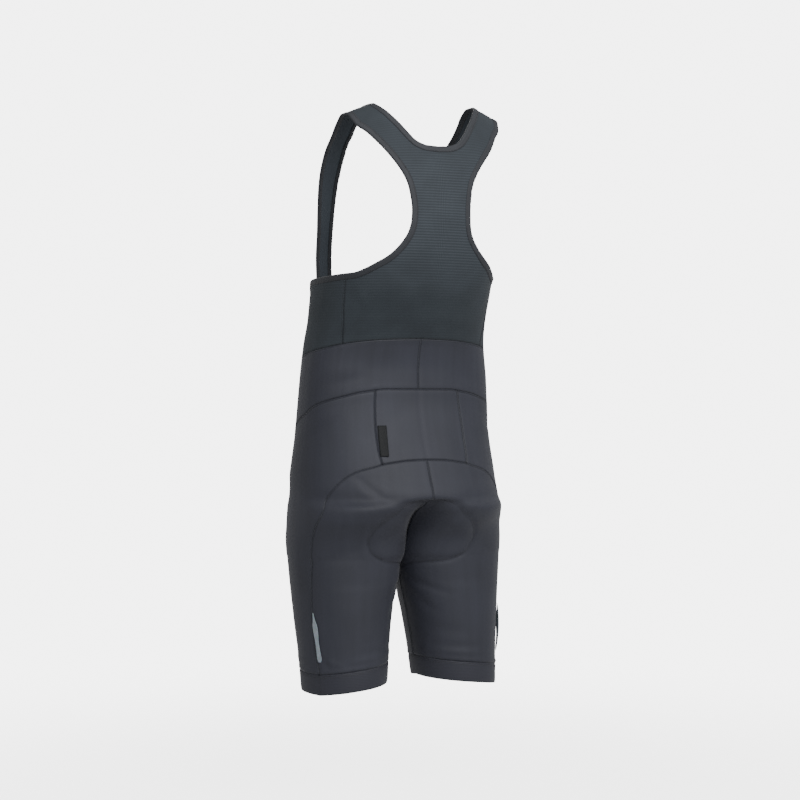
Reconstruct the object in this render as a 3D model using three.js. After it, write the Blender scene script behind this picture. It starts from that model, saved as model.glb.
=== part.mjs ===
// Cycling bib shorts in their worn, filled-out form with nobody in them.
// Millimetres, +Z up. The front faces -Y and the wearer's left is +X.
// The origin lies midway between the shoulder straps, where the shoulders carry them.
import * as THREE from "three";

// Driving dimensions
const CLOTH = 1.4; // wall of one layer of knitted cloth
const SEAM = 0.3; // gap between two pieces at a seam
const LIFT = 0.6; // gap under a piece that lies on another
const PAD_LIFT = 2.4; // gap between the pad and the cloth it is sewn to
const BINDING_WIDTH = 8.5;
const BINDING = { inside: -1.9, outside: 0.5 }; // folded round the edge, so thicker than the cloth
const HEM = { inside: -1.8, outside: 0.3 };
const HEM_HEIGHT = 30;
const PAD_THICKNESS = 4.5;
const TRIM_THICKNESS = 1.0; // label and reflective tabs
const SHOULDER_TOP = 55; // height of the shoulder line, measured along the cloth
const SHOULDER_DEPTH = 80; // how far the shoulder line lies behind the middle of the hips
const CROTCH = -668; // where the legs part
const CLEFT = { soft: 12, steepest: 0.7, fullDepth: 40 }; // how the cloth bridges it at the back
const FRONT_BLEND = 20; // how softly the front of the legs runs into the cloth that spans them
const FRONT_SPAN = 0.4; // share of a leg's inner half over which it does so

// How many facets each stretch of seam has. Pieces that share a seam share its points.
const STEPS = {
  panel: 6,
  waistBack: 5,
  centreBack: 8,
  neckBack: 9,
  armholeFront: 7,
  corner: 5,
  scoop: 3,
  strapWidth: 4,
  strap: 14,
  yoke: 4,
  pocketHalf: 3,
  yokeFront: 16,
  pocketSide: 4,
  seatArc: 5,
  sideSeam: 20,
  seatSeam: 10,
  frontRise: 19,
  inseam: 10,
  hemBand: 2,
  pad: 8,
  padBack: 14,
  padFront: 10,
  padInseam: 2,
  trim: 10,
};

// A table is its column names and its rows.
function table(columns, rows) {
  return rows.map((row) => Object.fromEntries(columns.map((name, i) => [name, row[i]])));
}

// The figure inside the cloth, a row for each level.
// height: measured along the cloth, the same as z below the shoulders.
// apart: middle of each leg from the centre plane. outer: widest point from the centre plane.
// middle, front, back: depths of the widest line and of both faces.
// bridge: depth of the cloth where it spans the front of the legs, in use from the hips to the crotch.
// square: 2 is an ellipse and more is squarer. fall: drop of the level at its outer end.
const FIGURE = table(
  ["height", "z", "apart", "outer", "middle", "front", "back", "bridge", "square", "fall"],
  [
    [55, 16, 0, 150, 80, 80, 80, 80, 2, 46],
    [40, 14, 0, 150, 78, 66, 92, 78, 2, 42],
    [25, 8, 0, 150, 76, 56, 102, 76, 2, 38],
    [10, 0, 0, 150, 73, 47, 110, 73, 2, 34],
    [-6, -10, 0, 150, 70, 38, 117, 70, 2.05, 29],
    [-27, -27, 0, 150, 66, 21, 125, 66, 2.1, 24],
    [-49, -48, 0, 150, 60, -4, 132, 60, 2.15, 18],
    [-70, -70, 0, 150, 54, -20, 138, 54, 2.2, 12],
    [-110, -110, 0, 149, 45, -41, 146, 45, 2.3, 4],
    [-160, -160, 0, 147, 36, -59, 150, 36, 2.35, 0],
    [-210, -210, 0, 143, 30, -76, 145, 30, 2.35, 0],
    [-260, -260, 0, 138.5, 25, -85, 132, 25, 2.3, 0],
    [-310, -310, 0, 140, 15, -88, 106, 15, 2.3, 0],
    [-352, -352, 0, 145, 8, -90, 83, 8, 2.35, 0],
    [-390, -390, 0, 150, 9, -92, 77, 9, 2.35, 0],
    [-430, -430, 0, 153, 7, -98, 79, 7, 2.3, 0],
    [-480, -480, 0, 156, 2, -103, 90, 2, 2.25, 0],
    [-545, -545, 0, 163.5, -2, -107, 113, -60, 2.2, 0],
    [-575, -575, 14, 165, -1, -104, 123, -88, 2.2, 0],
    [-590, -590, 62, 166.5, 0, -98, 119, -92, 2.15, 0],
    [-605, -605, 77, 168, 1, -95, 107.5, -84, 2.1, 0],
    [-620, -620, 81, 169.7, 3, -92, 94.5, -69, 2.1, 0],
    [-640, -640, 83.8, 172.2, 6, -89, 86, -45, 2.1, 0],
    [-660, -660, 85.3, 172.5, 8, -86, 82, -15, 2.05, 0],
    [CROTCH, CROTCH, 86, 172, 8.5, -84, 81, 8.5, 2, 0],
    [-680, -680, 86.6, 171.2, 9, -82, 81, 9, 2, 0],
    [-700, -700, 87.7, 169.7, 9, -78, 81, 9, 2, 0],
    [-715, -715, 88.7, 168.3, 9, -75, 82, 9, 2, 0],
    [-755, -755, 91.7, 164.9, 10, -66, 83, 10, 2, 0],
    [-810, -810, 93, 160.5, 15, -54, 83, 15, 2, 0],
    [-860, -860, 94, 158, 19, -46, 84, 19, 2, 0],
    [-900, -900, 94.5, 157, 20, -43, 83, 20, 2, 0],
  ],
);

// Lines on the figure, a row for each point.
// around: 0 is the centre back, 0.5 the wearer's left side and 1 the centre front.
const LINE = ["around", "height"];
const ARMHOLE_BACK = table(LINE, [
  [0.35, -248],
  [0.308, -247],
  [0.257, -241],
  [0.208, -232],
  [0.175, -225],
  [0.142, -214],
  [0.116, -201],
  [0.099, -188],
  [0.09, -172],
  [0.088, -154],
  [0.098, -122],
  [0.114, -104],
  [0.139, -86],
  [0.17, -68],
  [0.2, -53],
  [0.243, -32],
  [0.285, -13],
  [0.307, 15],
  [0.315, 35],
  [0.318, SHOULDER_TOP],
]);
const ARMHOLE_FRONT = table(LINE, [
  [0.35, -248],
  [0.429, -251],
  [0.52, -254],
  [0.6, -257],
  [0.66, -266],
  [0.705, -275],
]);
const ARMHOLE_CORNER = table(LINE, [
  [0.705, -275],
  [0.73, -272],
  [0.743, -262],
  [0.75, -246],
]);
const STRAP_OUTER = table(LINE, [
  [0.75, -246],
  [0.749, -194],
  [0.733, -149],
  [0.709, -108],
  [0.695, -80],
  [0.687, -47],
  [0.683, -8],
  [0.682, 26],
  [0.682, SHOULDER_TOP],
]);
const STRAP_INNER = table(LINE, [
  [0.853, -246],
  [0.851, -215],
  [0.846, -180],
  [0.841, -146],
  [0.836, -112],
  [0.83, -77],
  [0.825, -55],
  [0.819, -34],
  [0.815, -5],
  [0.814, 28],
  [0.814, SHOULDER_TOP],
]);
const SCOOP = table(LINE, [
  [1, -301],
  [0.94, -298],
  [0.892, -288],
]);
const SCOOP_SIDE = table(LINE, [
  [0.892, -288],
  [0.863, -270],
  [0.853, -246],
]);
const NECK_BACK = table(LINE, [
  [0, -62],
  [0.03, -61],
  [0.063, -55],
  [0.088, -43],
  [0.112, -28],
  [0.144, -6],
  [0.17, 18],
  [0.182, 36],
  [0.186, SHOULDER_TOP],
]);
const SIDE_BACK = table(LINE, [
  [0.35, -256],
  [0.337, -286],
  [0.311, -322],
  [0.286, -350],
]);
const WAIST = table(LINE, [
  [0, -342],
  [0.108, -343.5],
  [0.194, -346],
  [0.286, -350],
  [0.375, -355],
  [0.492, -361],
  [0.57, -367],
  [0.7, -374],
  [1, -380],
]);
const YOKE_LOWER = table(LINE, [
  [0, -416],
  [0.094, -416],
  [0.134, -417.5],
  [0.194, -421],
  [0.258, -426.5],
  [0.332, -432.5],
  [0.415, -440.5],
  [0.488, -453],
  [0.566, -467],
  [0.65, -482],
  [0.8, -499],
  [1, -508],
]);
const POCKET_SIDE = table(LINE, [
  [0.134, -417.5],
  [0.139, -447],
  [0.143, -478],
  [0.141, -505],
  [0.134, -526.5],
]);
const SEAT_ARC = table(LINE, [
  [0, -520],
  [0.05, -521],
  [0.1, -524],
  [0.134, -526.5],
  [0.16, -530],
  [0.212, -536],
  [0.257, -545],
  [0.294, -556],
]);
const SIDE_SEAM = table(LINE, [
  [0.294, -556],
  [0.343, -575],
  [0.38, -596],
  [0.4, -620],
  [0.415, -660],
  [0.43, -743],
  [0.429, -790],
  [0.418, -835],
]);
const HEM_EDGE = table(LINE, [
  [0, -848],
  [0.146, -853],
  [0.27, -858],
  [0.33, -861],
  [0.418, -865],
  [0.5, -863],
  [0.6, -861],
  [0.8, -856],
  [1, -848],
]);
const PAD_EDGE_BACK = table(LINE, [
  [0, -577],
  [0.053, -582],
  [0.105, -588],
  [0.145, -597],
  [0.197, -609],
  [0.223, -624],
  [0.233, -640],
  [0.229, -654],
  [0.214, -665],
  [0.188, -672],
  [0.145, -675],
  [0.095, -677],
  [0.045, -681],
  [0, -684],
]);
const PAD_EDGE_FRONT = table(LINE, [
  [1, -595],
  [0.93, -597],
  [0.87, -604],
  [0.83, -622],
  [0.825, -645],
  [0.845, -664],
  [0.89, -674],
  [0.945, -681],
  [1, -684],
]);
// A leaf shape: place along it from its upper tip, 0 to 1, and its width there.
const TAB = { around: 0.424, tip: -744, length: 72 };
const TAB_SHAPE = table(
  ["along", "width"],
  [
    [0, 1.2],
    [0.12, 7],
    [0.3, 13],
    [0.42, 11.5],
    [0.6, 9.5],
    [0.8, 11],
    [0.92, 10],
    [1, 4.5],
  ],
);
const LABEL = { around: 0.121, top: -470, width: 13, length: 45 };

// Smooth interpolation down a table, without overshoot, over evenly or unevenly spaced rows.
function slopesOf(at, values) {
  const gap = at.slice(1).map((a, i) => a - at[i]);
  const rise = values.slice(1).map((v, i) => (v - values[i]) / gap[i]);
  return values.map((_, i) => {
    if (i === 0) return rise[0];
    if (i === values.length - 1) return rise[i - 1];
    if (rise[i - 1] * rise[i] <= 0) return 0;
    const before = 2 * gap[i] + gap[i - 1];
    const after = gap[i] + 2 * gap[i - 1];
    return (before + after) / (before / rise[i - 1] + after / rise[i]);
  });
}

function smooth(at, values) {
  const slopes = slopesOf(at, values);
  return (x) => {
    const place = Math.min(Math.max(x, at[0]), at[at.length - 1]);
    let i = at.findIndex((a) => a > place) - 1;
    if (i < 0) i = at.length - 2;
    const gap = at[i + 1] - at[i];
    const t = (place - at[i]) / gap;
    const u = 1 - t;
    return (
      (1 + 2 * t) * u * u * values[i] +
      t * u * u * gap * slopes[i] +
      t * t * (3 - 2 * t) * values[i + 1] -
      t * t * u * gap * slopes[i + 1]
    );
  };
}

const LEVELS = [...FIGURE].reverse();
const LEVEL_HEIGHTS = LEVELS.map((row) => row.height);
const COLUMNS = Object.keys(FIGURE[0]).filter((name) => name !== "height");
const LEVEL_CURVES = COLUMNS.map((name) => [name, smooth(LEVEL_HEIGHTS, LEVELS.map((row) => row[name]))]);

function level(height) {
  return Object.fromEntries(LEVEL_CURVES.map(([name, curve]) => [name, curve(height)]));
}

const signedPower = (value, power) => Math.sign(value) * Math.abs(value) ** power;

// The lower of two values, blended where they are nearer than a distance.
function lower(a, b, blend) {
  const near = Math.max(0, blend - Math.abs(a - b));
  return Math.min(a, b) - (blend > 0 ? (near * near) / (4 * blend) : 0);
}

// A point of the figure's left half. Each level is an ellipse-like curve round a leg's middle,
// cut off by the centre plane while the two legs still overlap.
function halfPoint(around, height) {
  const f = level(height);
  f.wide = f.outer - f.apart;
  const share = Math.min(1, f.apart / f.wide);
  const power = 2 / f.square;
  const opening = Math.acos(-(share ** (1 / power)));
  let turn = opening * (1 - 2 * around);
  let side = 1;
  if (share < 1 && Math.abs(turn) > opening) {
    turn = Math.sign(turn) * (2 * opening - Math.abs(turn));
    side = -1;
  }
  const x = f.apart + f.wide * signedPower(Math.cos(turn), power);
  const behind = Math.sin(turn) > 0;
  const depth = behind ? f.back - f.middle : f.middle - f.front;
  let y = f.middle + depth * signedPower(Math.sin(turn), power);
  const notch = depth * Math.sin(opening) ** power;
  if (share < 1 && behind) {
    const steep = Math.min(CLEFT.steepest, ((share / Math.sqrt(1 - share ** 2)) * depth) / f.wide);
    const room = Math.min(1, notch / CLEFT.fullDepth);
    y += steep * CLEFT.soft * room * Math.exp(-Math.max(x, 0) / CLEFT.soft);
  } else if (share < 1 && x < f.apart) {
    const inward = Math.min(1, (f.apart - x) / (FRONT_SPAN * f.apart));
    const pull = inward * inward * (3 - 2 * inward);
    y += pull * (lower(y, f.bridge, Math.min(FRONT_BLEND, notch / 2)) - y);
  }
  const z = f.z - f.fall * (x / f.wide) ** 2;
  return new THREE.Vector3(side * x, y - SHOULDER_DEPTH, z);
}

// The outward normal, and how the point moves with each coordinate.
const NUDGE = { around: 0.002, height: 1 };
function frameAt({ around, height }) {
  const below = height - NUDGE.height;
  const above = Math.min(height + NUDGE.height, SHOULDER_TOP);
  const acrossBy = halfPoint(around + NUDGE.around, height)
    .sub(halfPoint(around - NUDGE.around, height))
    .divideScalar(2 * NUDGE.around);
  const upBy = halfPoint(around, above)
    .sub(halfPoint(around, below))
    .divideScalar(above - below);
  const point = halfPoint(around, height);
  return { point, acrossBy, upBy, normal: upBy.clone().cross(acrossBy).normalize() };
}

const mix = (a, b, t) => ({
  around: a.around + (b.around - a.around) * t,
  height: a.height + (b.height - a.height) * t,
});

// Evenly spaced points, in real millimetres, along the smooth line through a table's rows.
const FINE = 24; // samples between rows
function seam(rows, steps) {
  const at = rows.map((_, i) => i);
  const around = smooth(at, rows.map((row) => row.around));
  const height = smooth(at, rows.map((row) => row.height));
  const fine = [];
  for (let i = 0; i <= (rows.length - 1) * FINE; i++) {
    fine.push({ around: around(i / FINE), height: height(i / FINE) });
  }
  const points = fine.map((f) => halfPoint(f.around, f.height));
  const run = [0];
  for (let i = 1; i < fine.length; i++) run.push(run[i - 1] + points[i].distanceTo(points[i - 1]));
  const found = [];
  for (let k = 0; k <= steps; k++) {
    const goal = (run[run.length - 1] * k) / steps;
    let i = run.findIndex((r) => r >= goal);
    if (i < 1) i = 1;
    found.push(mix(fine[i - 1], fine[i], (goal - run[i - 1]) / (run[i] - run[i - 1])));
  }
  found[steps] = fine[fine.length - 1];
  return found;
}

const join = (...lines) => lines.reduce((all, line) => [...all, ...line.slice(1)]);
const back = (line) => [...line].reverse();
const straight = (a, b, steps) => Array.from({ length: steps + 1 }, (_, i) => mix(a, b, i / steps));

// The part of a table between two values of around, with its ends put in.
function stretch(rows, from, to) {
  const heights = smooth(rows.map((row) => row.around), rows.map((row) => row.height));
  const inside = rows.filter((row) => row.around > from + 1e-6 && row.around < to - 1e-6);
  return [{ around: from, height: heights(from) }, ...inside, { around: to, height: heights(to) }];
}

// A line moved sideways over the cloth by a distance, to the left of its direction where it is positive.
function inset(line, distance) {
  const places = line.map(frameAt);
  return line.map((spot, i) => {
    const { normal, acrossBy, upBy } = places[i];
    const before = places[Math.max(i - 1, 0)].point;
    const after = places[Math.min(i + 1, line.length - 1)].point;
    const along = after.clone().sub(before).normalize();
    const move = normal.clone().cross(along).normalize().multiplyScalar(distance);
    const aa = acrossBy.dot(acrossBy);
    const ab = acrossBy.dot(upBy);
    const bb = upBy.dot(upBy);
    const ma = move.dot(acrossBy);
    const mb = move.dot(upBy);
    const span = aa * bb - ab * ab;
    const onCentre = spot.around === 0 || spot.around === 1;
    const onRidge = spot.height === SHOULDER_TOP;
    if (onCentre) return { around: spot.around, height: spot.height + mb / bb };
    if (onRidge) return { around: spot.around + (Math.sign(ma) * Math.abs(distance)) / Math.sqrt(aa), height: spot.height };
    return {
      around: spot.around + (ma * bb - mb * ab) / span,
      height: spot.height + (mb * aa - ma * ab) / span,
    };
  });
}

// A four-sided patch blended from its edges. first and last run the same way, and so do start and end.
function patch(first, last, start, end) {
  const m = first.length - 1;
  const n = start.length - 1;
  const rows = [];
  for (let j = 0; j <= n; j++) {
    const t = j / n;
    const row = [];
    for (let i = 0; i <= m; i++) {
      const s = i / m;
      const blend = (name) =>
        (1 - t) * first[i][name] +
        t * last[i][name] +
        (1 - s) * start[j][name] +
        s * end[j][name] -
        (1 - s) * ((1 - t) * first[0][name] + t * last[0][name]) -
        s * ((1 - t) * first[m][name] + t * last[m][name]);
      row.push({ around: blend("around"), height: blend("height") });
    }
    rows.push(row);
  }
  return rows;
}

// Points of a patch on the cloth, with the outward normal at each.
function laid(rows, mirrored = false) {
  const flip = mirrored ? -1 : 1;
  return rows.map((row) =>
    row.map((spot) => {
      const { point, normal } = frameAt(spot);
      return {
        point: new THREE.Vector3(flip * point.x, point.y, point.z),
        normal: new THREE.Vector3(flip * normal.x, normal.y, normal.z),
      };
    }),
  );
}

const bothSides = (rows) => [laid(rows, false), laid(rows, true)];

// Joins grids that share points into one sheet: its points, normals and outward quads.
// A spread under 1 says that the sheet folds at a point, so that its faces lie further off there.
const WELD = 0.02;
const NARROWEST = 0.19;
function sheetOf(grids) {
  const seen = new Map();
  const points = [];
  const normals = [];
  const uses = [];
  const quads = [];
  const indexOf = ({ point, normal }) => {
    const key = point.toArray().map((v) => Math.round(v / WELD)).join();
    if (!seen.has(key)) {
      seen.set(key, points.length);
      points.push(point.clone());
      normals.push(new THREE.Vector3());
      uses.push(0);
    }
    normals[seen.get(key)].add(normal);
    uses[seen.get(key)] += 1;
    return seen.get(key);
  };
  for (const grid of grids) {
    const index = grid.map((row) => row.map(indexOf));
    for (let j = 0; j + 1 < grid.length; j++) {
      for (let i = 0; i + 1 < grid[0].length; i++) {
        const quad = [index[j][i], index[j][i + 1], index[j + 1][i + 1], index[j + 1][i]];
        const [a, b, c, d] = quad.map((k) => points[k]);
        const face = c.clone().sub(a).cross(d.clone().sub(b));
        const out = grid[j][i].normal.dot(face) + grid[j + 1][i + 1].normal.dot(face);
        quads.push(out < 0 ? quad.reverse() : quad);
      }
    }
  }
  const spreads = normals.map((normal, k) => Math.max(normal.length() / uses[k], NARROWEST));
  normals.forEach((normal) => normal.normalize());
  return { points, normals, spreads, quads };
}

// The edges that only one quad has, in its direction, so that the sheet lies to their left.
function rimOf(quads) {
  const edges = new Map();
  for (const quad of quads) {
    quad.forEach((from, k) => {
      const to = quad[(k + 1) % quad.length];
      if (from === to) return;
      const twin = to + "," + from;
      if (edges.has(twin)) edges.delete(twin);
      else edges.set(from + "," + to, [from, to]);
    });
  }
  return [...edges.values()];
}

// Draws a sheet's rim in by half a seam gap.
function drawnIn({ points, normals, spreads, quads }) {
  const rim = rimOf(quads);
  const moves = points.map(() => []);
  for (const [from, to] of rim) {
    const along = points[to].clone().sub(points[from]).normalize();
    for (const k of [from, to]) moves[k].push(normals[k].clone().cross(along).normalize());
  }
  const drawn = points.map((point, k) => {
    if (!moves[k].length) return point;
    const middle = moves[k].reduce((sum, v) => sum.add(v), new THREE.Vector3());
    const size = middle.length() / moves[k].length;
    return point.clone().addScaledVector(middle.normalize(), SEAM / 2 / Math.max(size, 0.5));
  });
  return { points: drawn, normals, spreads, quads, rim };
}

// A wall between two distances from the figure's surface, less than nothing being inside it.
// ownSide keeps a piece of the left half clear of the centre plane.
function wall(grids, { inside, outside }, ownSide = false) {
  const { points, normals, spreads, quads, rim } = drawnIn(sheetOf(grids));
  const count = points.length;
  const placed = [];
  for (const distance of [outside, inside]) {
    points.forEach((point, k) => {
      const reach = outside / spreads[k] + (distance - outside);
      const moved = point.clone().addScaledVector(normals[k], reach);
      if (ownSide) moved.x = Math.max(moved.x, SEAM / 2);
      placed.push(moved);
    });
  }
  const triangles = [];
  const add = (a, b, c) => {
    if (a !== b && b !== c && c !== a) triangles.push(a, b, c);
  };
  for (const [a, b, c, d] of quads) {
    const short = placed[a].distanceTo(placed[c]) <= placed[b].distanceTo(placed[d]);
    const halves = short ? [[a, b, c], [a, c, d]] : [[a, b, d], [b, c, d]];
    for (const [p, q, r] of halves) {
      add(p, q, r);
      add(r + count, q + count, p + count);
    }
  }
  for (const [from, to] of rim) {
    add(to, from, from + count);
    add(to, from + count, to + count);
  }
  const geometry = new THREE.BufferGeometry();
  const flat = placed.flatMap((p) => p.toArray());
  geometry.setAttribute("position", new THREE.Float32BufferAttribute(flat, 3));
  geometry.setIndex(triangles);
  geometry.computeVertexNormals();
  return geometry;
}

function mirroredGeometry(geometry) {
  const copy = geometry.clone().scale(-1, 1, 1);
  const index = copy.getIndex();
  for (let i = 0; i < index.count; i += 3) {
    const kept = index.getX(i + 1);
    index.setX(i + 1, index.getX(i + 2));
    index.setX(i + 2, kept);
  }
  copy.computeVertexNormals();
  return copy;
}

// Materials
const finish = (color, roughness, metalness = 0) =>
  new THREE.MeshStandardMaterial({ color, roughness, metalness, side: THREE.DoubleSide });
const ribbedMesh = finish(0x33393b, 0.85);
const legKnit = finish(0x34373c, 0.7);
const bindingKnit = finish(0x3a3c40, 0.75);
const hemKnit = finish(0x303438, 0.75);
const padFoam = finish(0x24272b, 0.9);
const reflectiveFilm = finish(0x9aa4ab, 0.35);
const labelSatin = finish(0x17191d, 0.5);

const shorts = new THREE.Group();

function addPiece(name, geometry, material) {
  const mesh = new THREE.Mesh(geometry, material);
  mesh.name = name;
  shorts.add(mesh);
}

function addPair(name, geometry, material) {
  addPiece(name + "_left", geometry, material);
  addPiece(name + "_right", mirroredGeometry(geometry), material);
}

const cloth = { inside: -CLOTH, outside: 0 };

// Seams of the bib. The armhole and neck lines are the garment's edges.
const shoulderBackSteps = STEPS.waistBack + STEPS.centreBack + STEPS.neckBack;
const armhole = join(
  back(seam(STRAP_OUTER, STEPS.strap)),
  back(seam(ARMHOLE_CORNER, STEPS.corner)),
  back(seam(ARMHOLE_FRONT, STEPS.armholeFront)),
  seam(ARMHOLE_BACK, shoulderBackSteps),
);
const armholeInner = inset(armhole, -BINDING_WIDTH);
const armholeLowest = STEPS.strap + STEPS.corner;
const underarm = armholeLowest + STEPS.armholeFront;
const neckFront = join(
  seam(SCOOP, STEPS.scoop),
  seam(SCOOP_SIDE, STEPS.corner),
  seam(STRAP_INNER, STEPS.strap),
);
const neckFrontInner = inset(neckFront, -BINDING_WIDTH);
const neckBack = seam(NECK_BACK, STEPS.neckBack);
const neckBackInner = inset(neckBack, BINDING_WIDTH);
const sideTop = armholeInner[underarm];
const sideSeamBib = seam([sideTop, ...SIDE_BACK.slice(1)], STEPS.panel);
const sideFoot = SIDE_BACK[SIDE_BACK.length - 1];
const waistBack = seam(stretch(WAIST, 0, sideFoot.around), STEPS.waistBack);
const waistFrontSteps = STEPS.armholeFront + STEPS.strapWidth + STEPS.scoop;
const waistFront = seam(stretch(WAIST, sideFoot.around, 1), waistFrontSteps);

// Back of the bib: one ribbed mesh piece with both back straps
function bibBack() {
  const outer = armholeInner.slice(underarm);
  const centre = seam([waistBack[0], neckBackInner[0]], STEPS.centreBack);
  const inner = join(back(waistBack), centre, neckBackInner);
  const shoulder = straight(outer[outer.length - 1], inner[inner.length - 1], STEPS.panel);
  return bothSides(patch(sideSeamBib, shoulder, outer, inner));
}
addPiece("bib_back", wall(bibBack(), cloth), ribbedMesh);

// Front of the bib: low panel from side seam to side seam, round both sides of the body,
// with the roots of the front straps on it
const strapFootIndex = STEPS.scoop + STEPS.corner;
const strapFoot = straight(armholeInner[STEPS.strap], neckFrontInner[strapFootIndex], STEPS.strapWidth);
function bibFront() {
  const lowest = armholeInner[armholeLowest];
  const edge = back(armholeInner.slice(armholeLowest, underarm + 1));
  const divide = straight(lowest, waistFront[STEPS.armholeFront], STEPS.panel);
  const side = patch(sideSeamBib, divide, edge, waistFront.slice(0, STEPS.armholeFront + 1));

  const root = straight(lowest, neckFrontInner[STEPS.scoop], STEPS.strapWidth);
  const top = join(root, back(neckFrontInner.slice(0, STEPS.scoop + 1)));
  const centre = straight(neckFrontInner[0], waistFront[waistFrontSteps], STEPS.panel);
  const chest = patch(divide, centre, top, waistFront.slice(STEPS.armholeFront));

  const outer = back(armholeInner.slice(STEPS.strap, armholeLowest + 1));
  const inner = neckFrontInner.slice(STEPS.scoop, strapFootIndex + 1);
  const strapRoot = patch(root, strapFoot, outer, inner);
  return [side, chest, strapRoot].flatMap((rows) => bothSides(rows));
}
addPiece("bib_front", wall(bibFront(), cloth), ribbedMesh);

// Front straps, from the bib's front over the chest to the shoulder line
function strap() {
  const outer = back(armholeInner.slice(0, STEPS.strap + 1));
  const inner = neckFrontInner.slice(strapFootIndex);
  const shoulder = straight(outer[STEPS.strap], inner[STEPS.strap], STEPS.strapWidth);
  return [laid(patch(strapFoot, shoulder, outer, inner))];
}
addPair("strap", wall(strap(), cloth), ribbedMesh);

// Elastic bindings: a closed loop round each armhole and one round the neck
const band = (edge, inner) => edge.map((spot, i) => [spot, inner[i]]);
addPair("binding_armhole", wall([laid(band(armhole, armholeInner))], BINDING), bindingKnit);
const neckBands = [band(neckFront, neckFrontInner), band(neckBack, neckBackInner)];
addPiece("binding_neck", wall(neckBands.flatMap((rows) => bothSides(rows)), BINDING), bindingKnit);

// Waist yoke: two halves joined at the centre back and centre front
const yokeBack = seam(stretch(YOKE_LOWER, 0, POCKET_SIDE[0].around), STEPS.pocketHalf);
const yokeFront = seam(stretch(YOKE_LOWER, POCKET_SIDE[0].around, 1), STEPS.yokeFront);
const waist = join(waistBack, waistFront);
const yokeLower = join(yokeBack, yokeFront);
function yoke() {
  const centreBack = straight(waist[0], yokeLower[0], STEPS.yoke);
  const centreFront = straight(waist[waist.length - 1], yokeLower[yokeLower.length - 1], STEPS.yoke);
  return [laid(patch(waist, yokeLower, centreBack, centreFront))];
}
addPair("yoke", wall(yoke(), cloth, true), legKnit);

// Pocket panel over the small of the back
const pocketSide = seam(POCKET_SIDE, STEPS.pocketSide);
const pocketFoot = POCKET_SIDE[POCKET_SIDE.length - 1];
const seatTop = seam(stretch(SEAT_ARC, 0, pocketFoot.around), STEPS.pocketHalf);
function pocket() {
  const centre = straight(yokeBack[0], seatTop[0], STEPS.pocketSide);
  return bothSides(patch(yokeBack, seatTop, centre, pocketSide));
}
addPiece("pocket_back", wall(pocket(), cloth), legKnit);

// Leg pieces: one goes from the pocket round the hip and down the front, the other is seat and thigh
const seatEnd = SEAT_ARC[SEAT_ARC.length - 1];
const seatArc = seam(stretch(SEAT_ARC, pocketFoot.around, seatEnd.around), STEPS.seatArc);
const sideSeam = seam(SIDE_SEAM, STEPS.sideSeam);
const sideEnd = SIDE_SEAM[SIDE_SEAM.length - 1];
const hemTopRows = HEM_EDGE.map((row) => ({ around: row.around, height: row.height + HEM_HEIGHT }));
const hemTopBack = seam(stretch(hemTopRows, 0, sideEnd.around), STEPS.pocketHalf + STEPS.seatArc);
const hemTopFront = seam(stretch(hemTopRows, sideEnd.around, 1), STEPS.yokeFront);
const crotch = (around) => ({ around, height: CROTCH });
const inseam = (around, foot) => straight(crotch(around), foot, STEPS.inseam);

function legBack() {
  const top = join(seatTop, seatArc);
  const centre = seam([seatTop[0], crotch(0)], STEPS.seatSeam);
  return [laid(patch(top, hemTopBack, join(centre, inseam(0, hemTopBack[0])), sideSeam))];
}
addPair("leg_back", wall(legBack(), cloth, true), legKnit);

function legFront() {
  const outer = join(pocketSide, seatArc, sideSeam);
  const rise = seam([yokeFront[STEPS.yokeFront], crotch(1)], STEPS.frontRise);
  const inner = join(rise, inseam(1, hemTopFront[STEPS.yokeFront]));
  return [laid(patch(yokeFront, hemTopFront, outer, inner))];
}
addPair("leg_front", wall(legFront(), cloth, true), legKnit);

// Hem bands: a closed elastic ring at the foot of each leg
function hemBand() {
  const top = join(hemTopBack, hemTopFront);
  const edge = top.map((spot) => ({ around: spot.around, height: spot.height - HEM_HEIGHT }));
  const end = top.length - 1;
  const start = straight(top[0], edge[0], STEPS.hemBand);
  return [laid(patch(top, edge, start, straight(top[end], edge[end], STEPS.hemBand)))];
}
addPair("hem", wall(hemBand(), HEM), hemKnit);

// Seat pad, sewn to the inside of the seat and passed under the crotch to the front
function padPart(edgeRows, steps) {
  const [top] = edgeRows;
  const foot = edgeRows[edgeRows.length - 1];
  const middle = join(
    seam([top, crotch(top.around)], steps),
    straight(crotch(top.around), foot, STEPS.padInseam),
  );
  const edge = seam(edgeRows.slice(1), steps + STEPS.padInseam);
  return bothSides(middle.map((spot, j) => straight(spot, edge[j], STEPS.pad)));
}
const padWall = { inside: -CLOTH - PAD_LIFT - PAD_THICKNESS, outside: -CLOTH - PAD_LIFT };
const padGrids = [...padPart(PAD_EDGE_BACK, STEPS.padBack), ...padPart(PAD_EDGE_FRONT, STEPS.padFront)];
addPiece("seat_pad", wall(padGrids, padWall), padFoam);

// A flat strip on top of the cloth, from its centre line and its width at each step
function strip(centre, widthAt) {
  const half = centre.map((_, i) => widthAt(i / (centre.length - 1)) / 2);
  const frames = centre.map(frameAt);
  const shift = (sign) =>
    centre.map((spot, i) => ({
      around: spot.around + (sign * half[i]) / frames[i].acrossBy.length(),
      height: spot.height,
    }));
  const sides = [shift(1), shift(-1)];
  return [laid(centre.map((spot, i) => [sides[0][i], spot, sides[1][i]]))];
}
const trim = { inside: LIFT, outside: LIFT + TRIM_THICKNESS };

// Reflective tabs, one on each leg just behind the side seam
function reflectiveTab() {
  const width = smooth(TAB_SHAPE.map((row) => row.along), TAB_SHAPE.map((row) => row.width));
  const foot = { around: TAB.around - 0.012, height: TAB.tip - TAB.length };
  const centre = straight({ around: TAB.around, height: TAB.tip }, foot, STEPS.trim);
  return strip(centre, width);
}
addPair("reflective_tab", wall(reflectiveTab(), trim), reflectiveFilm);

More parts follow.
